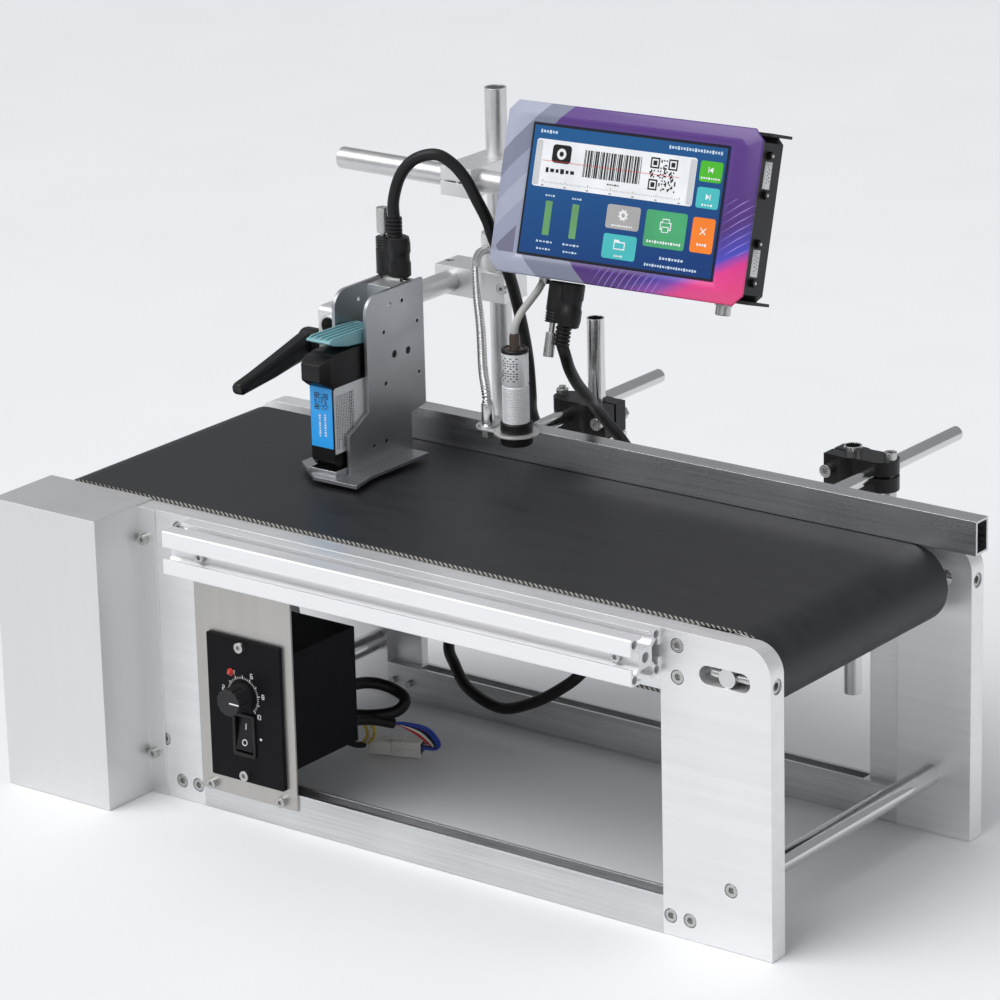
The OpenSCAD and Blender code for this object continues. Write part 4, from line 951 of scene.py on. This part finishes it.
barrel = sensor_barrel()
attach(barrel, "arm", "screw_steel", "sensor")

nuts = []
for low in (226.5, 235.0):
    high = low + 7.0
    profile = [(9.2, low), (9.9, low), (10.75, low + 0.8), (10.75, high - 0.8), (9.9, high), (9.2, high)]
    nuts.append(lathe("nut", profile, "black", 72, 25, lambda a: 1.0 - 0.018 * (math.cos(24 * a) > 0.2)))
nut_pair = place(merge("sensor_nut_pair", nuts), at(*SENSOR, 0))
attach(nut_pair, "arm", "black_plastic", "sensor_nuts")


def neck_ridge(distance):
    """Corrugation of the gooseneck, beyond its plain end"""
    return 0.9 * math.cos(math.pi * distance / 2.3) ** 2 - 0.6 if distance > 34 else 0.0


NECK = [(MAST_X, 153, 322), (MAST_X, 149, 322), (MAST_X + 3, 138, 322), (-110, 125, 318), (-97, 109, 302),
        (-84, 95, 285), (-66, 73, 267), (-54, 60, 258), (-49.5, 55.5, 250), (-49, 55, 246)]
stub = lathe("stub", [(3.0, 0), (3.3, 0.4), (3.3, 6.0), (3.0, 6.4)], "bright", 24)
place(stub, aim((MAST_X, 156.5, 322), (0, -1, 0)))
neck_foot = [
    lathe("ferrule", [(3.4, 234.9), (4.2, 235.2), (4.2, 249.5), (3.7, 251.0), (3.1, 251.2)], "bright", 36),
    lathe("flange", [(6.8, 235.0), (7.4, 235.2), (7.4, 236.0), (6.8, 236.3)], "bright", 40),
    lathe("screw", [(3.6, 226.8), (4.3, 227.4), (4.3, 232.6), (3.8, 233.4)], "screw", 6, 10),
]
for part in neck_foot:
    place(part, at(-49, 55, 0))
neck = sweep("neck", NECK, 3.0, "bright", 0.3, 16, neck_ridge)
gooseneck = merge("gooseneck", [neck, stub] + neck_foot)
attach(gooseneck, "arm", "bright_steel", "sensor_gooseneck")


def knurled(name, radius, z0, z1, count, material, depth):
    """Short cylinder with rounded rims and straight knurling"""
    profile = [(radius - 0.7, z0), (radius, z0 + 0.6), (radius, z1 - 0.6), (radius - 0.7, z1)]
    return lathe(name, profile, material, count * 4, 20,
                 lambda a: 1.0 - depth * (0.5 + 0.5 * math.cos(count * a)))


collar = knurled("knurled_band", 12.35, 306.5, 329.5, 44, "clamp", 0.02)
place(collar, at(MAST_X, MAST_Y, 0))
attach(collar, "arm", "clamp_aluminium")

# ---- Plugs: moulded bodies, ribbed tails, knurled thumb screws ----


def plug_body(tall, tail, notch):
    """Moulded plug up the Z axis: two rounded columns, a waisted right side, a ribbed tail"""
    left = [(5.6, 0), (6.6, 0.8), (6.6, tall - 8)]
    for i in range(4):
        z = tall - 7.5 + i * 1.9
        left += [(6.6, z), (6.0, z + 0.4), (6.0, z + 1.2), (6.6, z + 1.6)]
    left += [(6.2, tall + 0.3), (5.0, tall + 0.5)]
    right = [(7.0, 0), (8.0, 0.8), (8.0, notch), (7.3, notch + 2), (7.3, notch + 6), (8.0, notch + 8),
             (8.0, tall - 3), (7.2, tall + 1.5), (5.2, tall + 2.5)]
    relief = [(4.6, tall), (4.6, tall + 1.5)]
    for i in range(5):
        z = tall + 2.0 + 2.6 * i
        relief += [(4.3, z), (5.3, z + 0.3), (5.2, z + 1.9), (4.3, z + 2.2)]
    relief += [(4.25, tall + tail)]
    return [
        place(lathe("column", left, "black", 36, 30), at(-7.2, 0, 0)),
        place(lathe("column", right, "black", 36, 35), at(4.2, 0, 0) @ Matrix.Scale(0.92, 4, (0, 1, 0))),
        rounded_box("web", (10, 11.6, tall - 0.5), (-2, 0, tall / 2), 1.0, "black"),
        place(lathe("relief", relief, "black", 36, 40), at(1.0, 0, 0)),
    ]


head_plug = merge("head_plug_body", plug_body(25.3, 13.5, 9) + [
    rounded_box("socket", (15, 9, 3.0), (0, 0, -1.2), 0.6, "screw")])
place(head_plug, at(HEAD_X - 4, PLUG_Y, 323.2))
attach(head_plug, "head", "black_plastic", "head_plug")

display_plug = merge("display_plug_body", plug_body(27, 14, 10))
place(display_plug, DISPLAY @ at(PLUG_X, PORT_Y, -57.5) @ Matrix.Rotation(math.pi, 4, "Y")
      @ Matrix.Scale(-1, 4, (1, 0, 0)))
attach(display_plug, "display", "black_plastic", "display_plug")

grip = knurled("head_plug_grip", 4.1, 351.7, 368.3, 26, "screw", 0.07)
place(grip, at(HEAD_X - 13, PLUG_Y, 0))
attach(grip, "head_thumb", "screw_steel")
grip = knurled("display_plug_grip", 3.6, -0.1, 16.1, 22, "screw", 0.07)
place(grip, DISPLAY @ aim((PLUG_X - 8.3, PORT_Y, -91.5), (0, 0, -1)))
attach(grip, "display_thumb", "screw_steel")

# ---- Print head: cartridge, latch, clamp lever ----


def cartridge():
    """Ink cartridge: body, foot and tapered cap, with its blue and pale labels and their print"""
    half = 9.8
    x0, x1 = HEAD_X - half, HEAD_X + half
    body = [(-22, 218), (-18.5, 213.2), (40, 213.2), (46, 219), (46, 291), (-18, 291), (-22, 288)]
    foot = [(-18, 214), (-17, 208.5), (-15, 207), (6, 207), (8, 214)]
    rings = []
    for y, inset, top, bottom in ((-20, -0.6, 290, 266.5), (-25, -0.6, 289, 270), (-32.3, 2.2, 286, 274.5)):
        outline = rectangle(2 * (half - inset), top - bottom, HEAD_X, (top + bottom) / 2)
        rings.append([(x, y, z) for x, z in outline])
    parts = [
        prism_x("body", body, x0, x1, "black", 0.8),
        prism_x("foot", foot, x0 + 1.5, x1 - 1.5, "black", 0.8),
        bevel(loft("cap", rings, "black"), 0.9, 3, 15),
        rounded_box("front_label", (18.4, 0.3, 42), (HEAD_X, -22.05, 247.8), 0.14, "label_blue", 1),
    ]
    outline = [(-21.0, 223), (9, 223), (30, 223), (30, 268), (-21.0, 268)]
    for s in (-1, 1):
        side = HEAD_X + s * half
        parts.append(prism_x("side_label", outline, side - 0.14, side + 0.08, "label_white"))

    def front_mark(x, z, w, h, ink):
        parts.append(prism("mark", rectangle(w, h, x, z), -22.28, -22.16, ink))

    matrix_code(HEAD_X + 0.2, 258.5, 11.5, lambda x, z, size: front_mark(x, z, size, size, "ink_black"))
    for row in range(2):
        for i in range(9):
            height = 1.25 if (i + row) % 3 else 0.7
            front_mark(HEAD_X + 3.1 - 4.6 * row, 249.5 - 1.75 * i - 0.8 * row, 1.5, height, "ink_white")
    for line in range(11):
        y = -18.6 + 1.75 * line
        ink = "ink_black" if line in (8, 9) else "ink_grey"
        z, k = 262.5, 0
        stop = 226.0 + (6 if line % 4 == 2 else 0) + max(0.0, (line - 6) * 2.0)
        while z > stop:
            h = 1.0 + 0.9 * ((k * 5 + line * 3) % 4) / 3
            parts.append(prism_x("print", rectangle(0.84, h, y, z - h / 2), x1 + 0.06, x1 + 0.18, ink))
            z -= h + 0.5
            k += 1
    return merge("ink_cartridge", parts)


# raised lip round the shoe's window, and the dark ends of the pins in the side sheets
LIP = ((23, 1.4, HEAD_X, -23.2), (1.4, 38, HEAD_X + 11, -4.6), (1.4, 38, HEAD_X - 11, -4.6))
lip = [rounded_box("lip", (w, d, 4.2), (x, y, 210), 0.4, "sheet") for w, d, x, y in LIP]
lip = merge("shoe_lip", lip)
attach(lip, "head", "head_anodised")
LATCH_PIVOT = (27.5, 295.5)  # Y and Z
pin_ends = []
for y, z in ((47.5, 312.5), (63, 295), (63.5, 259.5), LATCH_PIVOT, (52.5, 277), (38, 278)):
    for s in (1, -1):
        end = lathe("pin_end", [(1.5, -0.1), (1.5, 0.08)], "dark", 24)
        pin_ends.append(place(end, aim((HEAD_X + s * 14.5, y, z), (s, 0, 0))))
pins = merge("pin_ends", pin_ends)
attach(pins, "head", "screw_steel")

ink = cartridge()
attach(ink, "head", "black_plastic", "cartridge")


def latch():
    """Spring latch: a ribbed finger plate over a wedge, on two pivot loops"""
    py, pz = LATCH_PIVOT
    wedge = [(py, pz - 3.9), (py - 16, pz - 3.9), (py - 32, pz - 2.4), (py - 46, pz + 1.1),
             (py - 51, pz + 3.5), (py - 50, pz + 5), (py - 12, pz + 4.2), (py, pz + 3.6)]
    rib = [(py - 3, pz + 3.2), (py - 3, pz + 4.8), (py - 14, pz + 5.6), (py - 46, pz + 6.2),
           (py - 50, pz + 4.8)]
    parts = [prism_x("wedge", wedge, HEAD_X - 9.9, HEAD_X + 9.9, "teal", 0.5, 2)]
    for i in range(5):
        x = HEAD_X - 8.6 + 4.3 * i
        parts.append(prism_x("rib", rib, x - 0.75, x + 0.75, "teal", 0.3, 2))
    for s in (-1, 1):
        loop = lathe("loop", [(3.7, 0), (4.15, 0.4), (4.15, 5.0), (3.7, 5.4)], "teal", 36)
        parts.append(place(loop, aim((HEAD_X + s * 7.2 - 2.7, py, pz), (1, 0, 0))))
    return merge("teal_latch", parts)


finger = latch()
attach(finger, "latch", "latch_teal", "latch")


LEVER_PIVOT = (30.0, 279.0)  # Y and Z
LEVER_X = -163.7  # where the hub starts; it reaches 20 mm outwards
LEVER_SECTIONS = (  # share of the arm's length, lift, half width, half height
    (0.0, 0.0, 6.4, 8.4), (0.12, 0.4, 6.4, 8.2), (0.3, 0.4, 6.2, 7.2), (0.55, 0.1, 5.9, 6.2),
    (0.8, 0.4, 5.3, 4.9), (0.97, 0.8, 4.9, 4.3), (1.0, 0.9, 3.9, 3.2),
)
FLANKS = ((-1, -0.55), (-0.55, -1), (0.55, -1), (1, -0.55), (1, 0.5), (0.55, 1), (-0.55, 1), (-1, 0.5))


def lever():
    """Clamping lever: a two-part hub and a tapered arm with bevelled flanks"""
    py, pz = LEVER_PIVOT
    hub = [(7.6, 0.0), (8.8, 0.7), (9.0, 5.4), (8.5, 5.9), (8.5, 6.4), (9.0, 6.9), (9.0, 17.2),
           (8.3, 19.2), (6.8, 20.0)]
    button = [(5.4, 0), (5.4, 0.6), (4.6, 0.9), (2.4, 0.9)]
    parts = [
        place(lathe("hub", hub, "black", 44, 30), aim((LEVER_X, py, pz), (-1, 0, 0))),
        place(lathe("pin", [(3.0, 0), (3.0, 23)], "screw", 24), aim((-143.5, py, pz), (-1, 0, 0))),
        place(lathe("button", button, "black", 32), aim((LEVER_X - 20, py, pz), (-1, 0, 0))),
    ]
    lean = math.radians(-11.5)
    rings = []
    for t, lift, half_w, half_h in LEVER_SECTIONS:
        x, y, z = LEVER_X - 12.8, py - 1.0 - 77.5 * t, pz - 15.2 * t + lift
        rings.append([(x + a * half_w, y + b * half_h * math.sin(lean), z + b * half_h * math.cos(lean))
                      for a, b in FLANKS])
    parts.append(bevel(loft("arm", rings, "black"), 0.6, 2, 22))
    return merge("lever_handle", parts)


handle = lever()
attach(handle, "lever", "black_plastic", "clamp_lever")

# ---- Speed controller's face ----

FACE_Y = -124.5  # the controller's front face
KNOB = (-116.5, 87.0)  # X and Z
ROCKER = (-116.5, 60.0)

STROKES = {  # seven-segment strokes of the dial's numbers
    "0": "abcdef", "1": "bc", "2": "abged", "4": "fgbc", "6": "afgedc", "8": "abcdefg",
}
SEGMENTS = {  # stroke: place in half widths and quarter heights, whether it runs across
    "a": (0, 1, True), "b": (1, 0.5, False), "c": (1, -0.5, False), "d": (0, -1, True),
    "e": (-1, -0.5, False), "f": (-1, 0.5, False), "g": (0, 0, True),
}


def face_print(name, outline):
    """Thin white print on the controller's face"""
    return prism(name, outline, FACE_Y - 0.12, FACE_Y, "ink_white")


def number(text, cx, cz, height):
    """Dial number drawn with bars"""
    made = []
    w, h, line = height * 0.28, height / 2, height * 0.15
    for i, digit in enumerate(text):
        x = cx + (i - (len(text) - 1) / 2) * height * 0.85
        for key in STROKES[digit]:
            u, v, across = SEGMENTS[key]
            size = (w * 2, line) if across else (line, h)
            made.append(face_print("stroke", rounded_outline(*size, 0.05, x + u * w, cz + v * h, 1)))
    return made


def closed_ring(name, outer, inner, y0, y1, material):
    """Flat ring between two X-Z outlines of equal point counts"""
    rings = ((y0, outer), (y1, outer), (y1, inner), (y0, inner))
    vertices = [(x, y, z) for y, ring in rings for x, z in ring]
    return piece(name, vertices, band(len(outer), 4, True), material)


def controller_face():
    """The dial's ticks and numbers, the lamp, the rocker's frame and its white dot"""
    parts = []
    for i in range(41):
        a = math.radians(225 - 270 * i / 40)
        c, s = math.cos(a), math.sin(a)
        r0, r1, w = (11.8, 14.2, 0.28) if i % 4 == 0 else (11.8, 13.2, 0.16)
        corners = ((r0, -w), (r1, -w), (r1, w), (r0, w))
        outline = [(KNOB[0] + r * c - k * s, KNOB[1] + r * s + k * c) for r, k in corners]
        parts.append(face_print("tick", outline))
    for i, text in enumerate(("0", "2", "4", "6", "8", "10")):
        a = math.radians(225 - 54 * i)
        parts += number(text, KNOB[0] + 17.0 * math.cos(a), KNOB[1] + 17.0 * math.sin(a), 3.0)
    lamp = [(2.6, 0), (2.6, 0.7), (2.0, 0.8), (1.9, 1.5), (1.5, 2.3), (0.9, 2.8), (0.3, 3.0)]
    parts.append(place(lathe("lamp", lamp, "lens", 32), aim((-126.3, FACE_Y, 101.7), (0, -1, 0))))
    outer, inner = rounded_outline(19, 30, 1.6, *ROCKER), rounded_outline(14.2, 25, 0.8, *ROCKER)
    frame_ring = closed_ring("rocker_frame", outer, inner, FACE_Y + 0.5, FACE_Y - 1.4, "black")
    parts.append(bevel(frame_ring, 0.35, 2, 50))
    parts.append(face_print("dot", disc_outline(0.9, -103, 59.5, 20)))
    return merge("controller_print", parts)


panel_print = controller_face()
attach(panel_print, "frame", "black_plastic")

pointer = rounded_box("knob_line", (8.2, 0.5, 1.0), (KNOB[0] + 5.2, -140.05, KNOB[1]), 0.2, "ink_white", 1)
rim = lathe("knob_rim", [(8.2, 0), (8.9, 0.2), (9.35, 1.4), (9.35, 2.6), (8.2, 3.0)], "black", 60, 20)
place(rim, aim((KNOB[0], -123.1, KNOB[1]), (0, -1, 0)))
knob_detail = merge("knob_detail", [pointer, rim])
attach(knob_detail, "knob", "black_plastic")

# the rocker's circle and bar lie on its two slopes, 5.3 mm from its axis
outer, inner = disc_outline(2.2, sides=28), disc_outline(1.6, sides=28)
off_mark = closed_ring("off_mark", outer, inner, 0, -0.12, "ink_white")
on_mark = prism("on_mark", rectangle(0.7, 4), -0.12, 0, "ink_white")
for mark, side, y, rise in ((off_mark, -1, -125.0, 2.2), (on_mark, 1, -123.1, 1.6)):
    slope = Matrix.Rotation(-math.atan2(rise, 10.6), 4, "X")
    place(mark, at(ROCKER[0], y, ROCKER[1] + side * 5.3) @ slope)
marks = merge("rocker_marks", [off_mark, on_mark])
attach(marks, "rocker", "black_plastic")

# ---- Floor, light and camera ----


def floor_material():
    g = Graph("floor")
    mottle = g.remap(g.noise(6, detail=2), 0.3, 0.7)
    g.set(Base_Color=g.mix(mottle, (0.835, 0.845, 0.865), (0.855, 0.865, 0.885)), Roughness=0.75,
          Specular_IOR_Level=0.2)
    return g.material


floor_mesh = bpy.data.meshes.new("floor")
floor_mesh.from_pydata([(-6, -6, 0), (6, -6, 0), (6, 9, 0), (-6, 9, 0)], [], [(0, 1, 2, 3)])
floor = bpy.data.objects.new("floor", floor_mesh)
floor.location.z = -0.0003
floor_mesh.materials.append(floor_material())
bpy.context.scene.collection.objects.link(floor)


def area_light(name, position, target, size, power):
    """Rectangular lamp; metres and watts"""
    data = bpy.data.lights.new(name, "AREA")
    data.shape = "RECTANGLE"
    data.size, data.size_y = size
    data.energy = power
    lamp = bpy.data.objects.new(name, data)
    lamp.location = position
    lamp.rotation_euler = (Vector(target) - Vector(position)).to_track_quat("-Z", "Y").to_euler()
    bpy.context.scene.collection.objects.link(lamp)


area_light("key_overhead", (-0.3, 0.1, 2.4), (0, 0, 0.1), (2.6, 2.2), 8)
area_light("fill_front", (1.1, -2.6, 1.2), (0, 0, 0.15), (2.0, 1.6), 4)
area_light("rim_right", (2.3, 0.6, 1.1), (0, 0, 0.2), (1.2, 1.6), 5)
area_light("side_left", (-2.2, -1.2, 1.3), (0, 0, 0.15), (1.4, 1.4), 3)

# a wide soft sun stands for a lit ceiling
sky_data = bpy.data.lights.new("ceiling", "SUN")
sky_data.energy = 2.1
sky_data.angle = math.radians(50)
sky = bpy.data.objects.new("ceiling", sky_data)
sky.rotation_euler = Vector((-0.25, -0.55, 0.80)).to_track_quat("Z", "Y").to_euler()
bpy.context.scene.collection.objects.link(sky)

world = bpy.data.worlds.new("studio")
bpy.context.scene.world = world
world.use_nodes = True
background = world.node_tree.nodes["Background"]
background.inputs["Color"].default_value = (0.92, 0.94, 0.97, 1)
background.inputs["Strength"].default_value = 0.38
bpy.context.scene.view_settings.view_transform = "Standard"

AZIMUTH, ELEVATION, ROLL = math.radians(37.61), math.radians(18.52), math.radians(-1.457)
TARGET = Vector((0.0017, 0.0, 0.2077))  # the point looked at, in metres
DISTANCE, LENS = 2.9424, 164.1  # metres from it, and millimetres on a 36 mm sensor
level = math.cos(ELEVATION)
outward = Vector((math.sin(AZIMUTH) * level, -math.cos(AZIMUTH) * level, math.sin(ELEVATION)))
turn = outward.to_track_quat("Z", "Y").to_matrix().to_4x4() @ Matrix.Rotation(ROLL, 4, "Z")
camera = bpy.data.objects.new("camera", bpy.data.cameras.new("camera"))
camera.data.lens = LENS
camera.data.sensor_width = 36.0
camera.matrix_world = Matrix.Translation(TARGET + outward * DISTANCE) @ turn
bpy.context.scene.collection.objects.link(camera)
bpy.context.scene.camera = camera
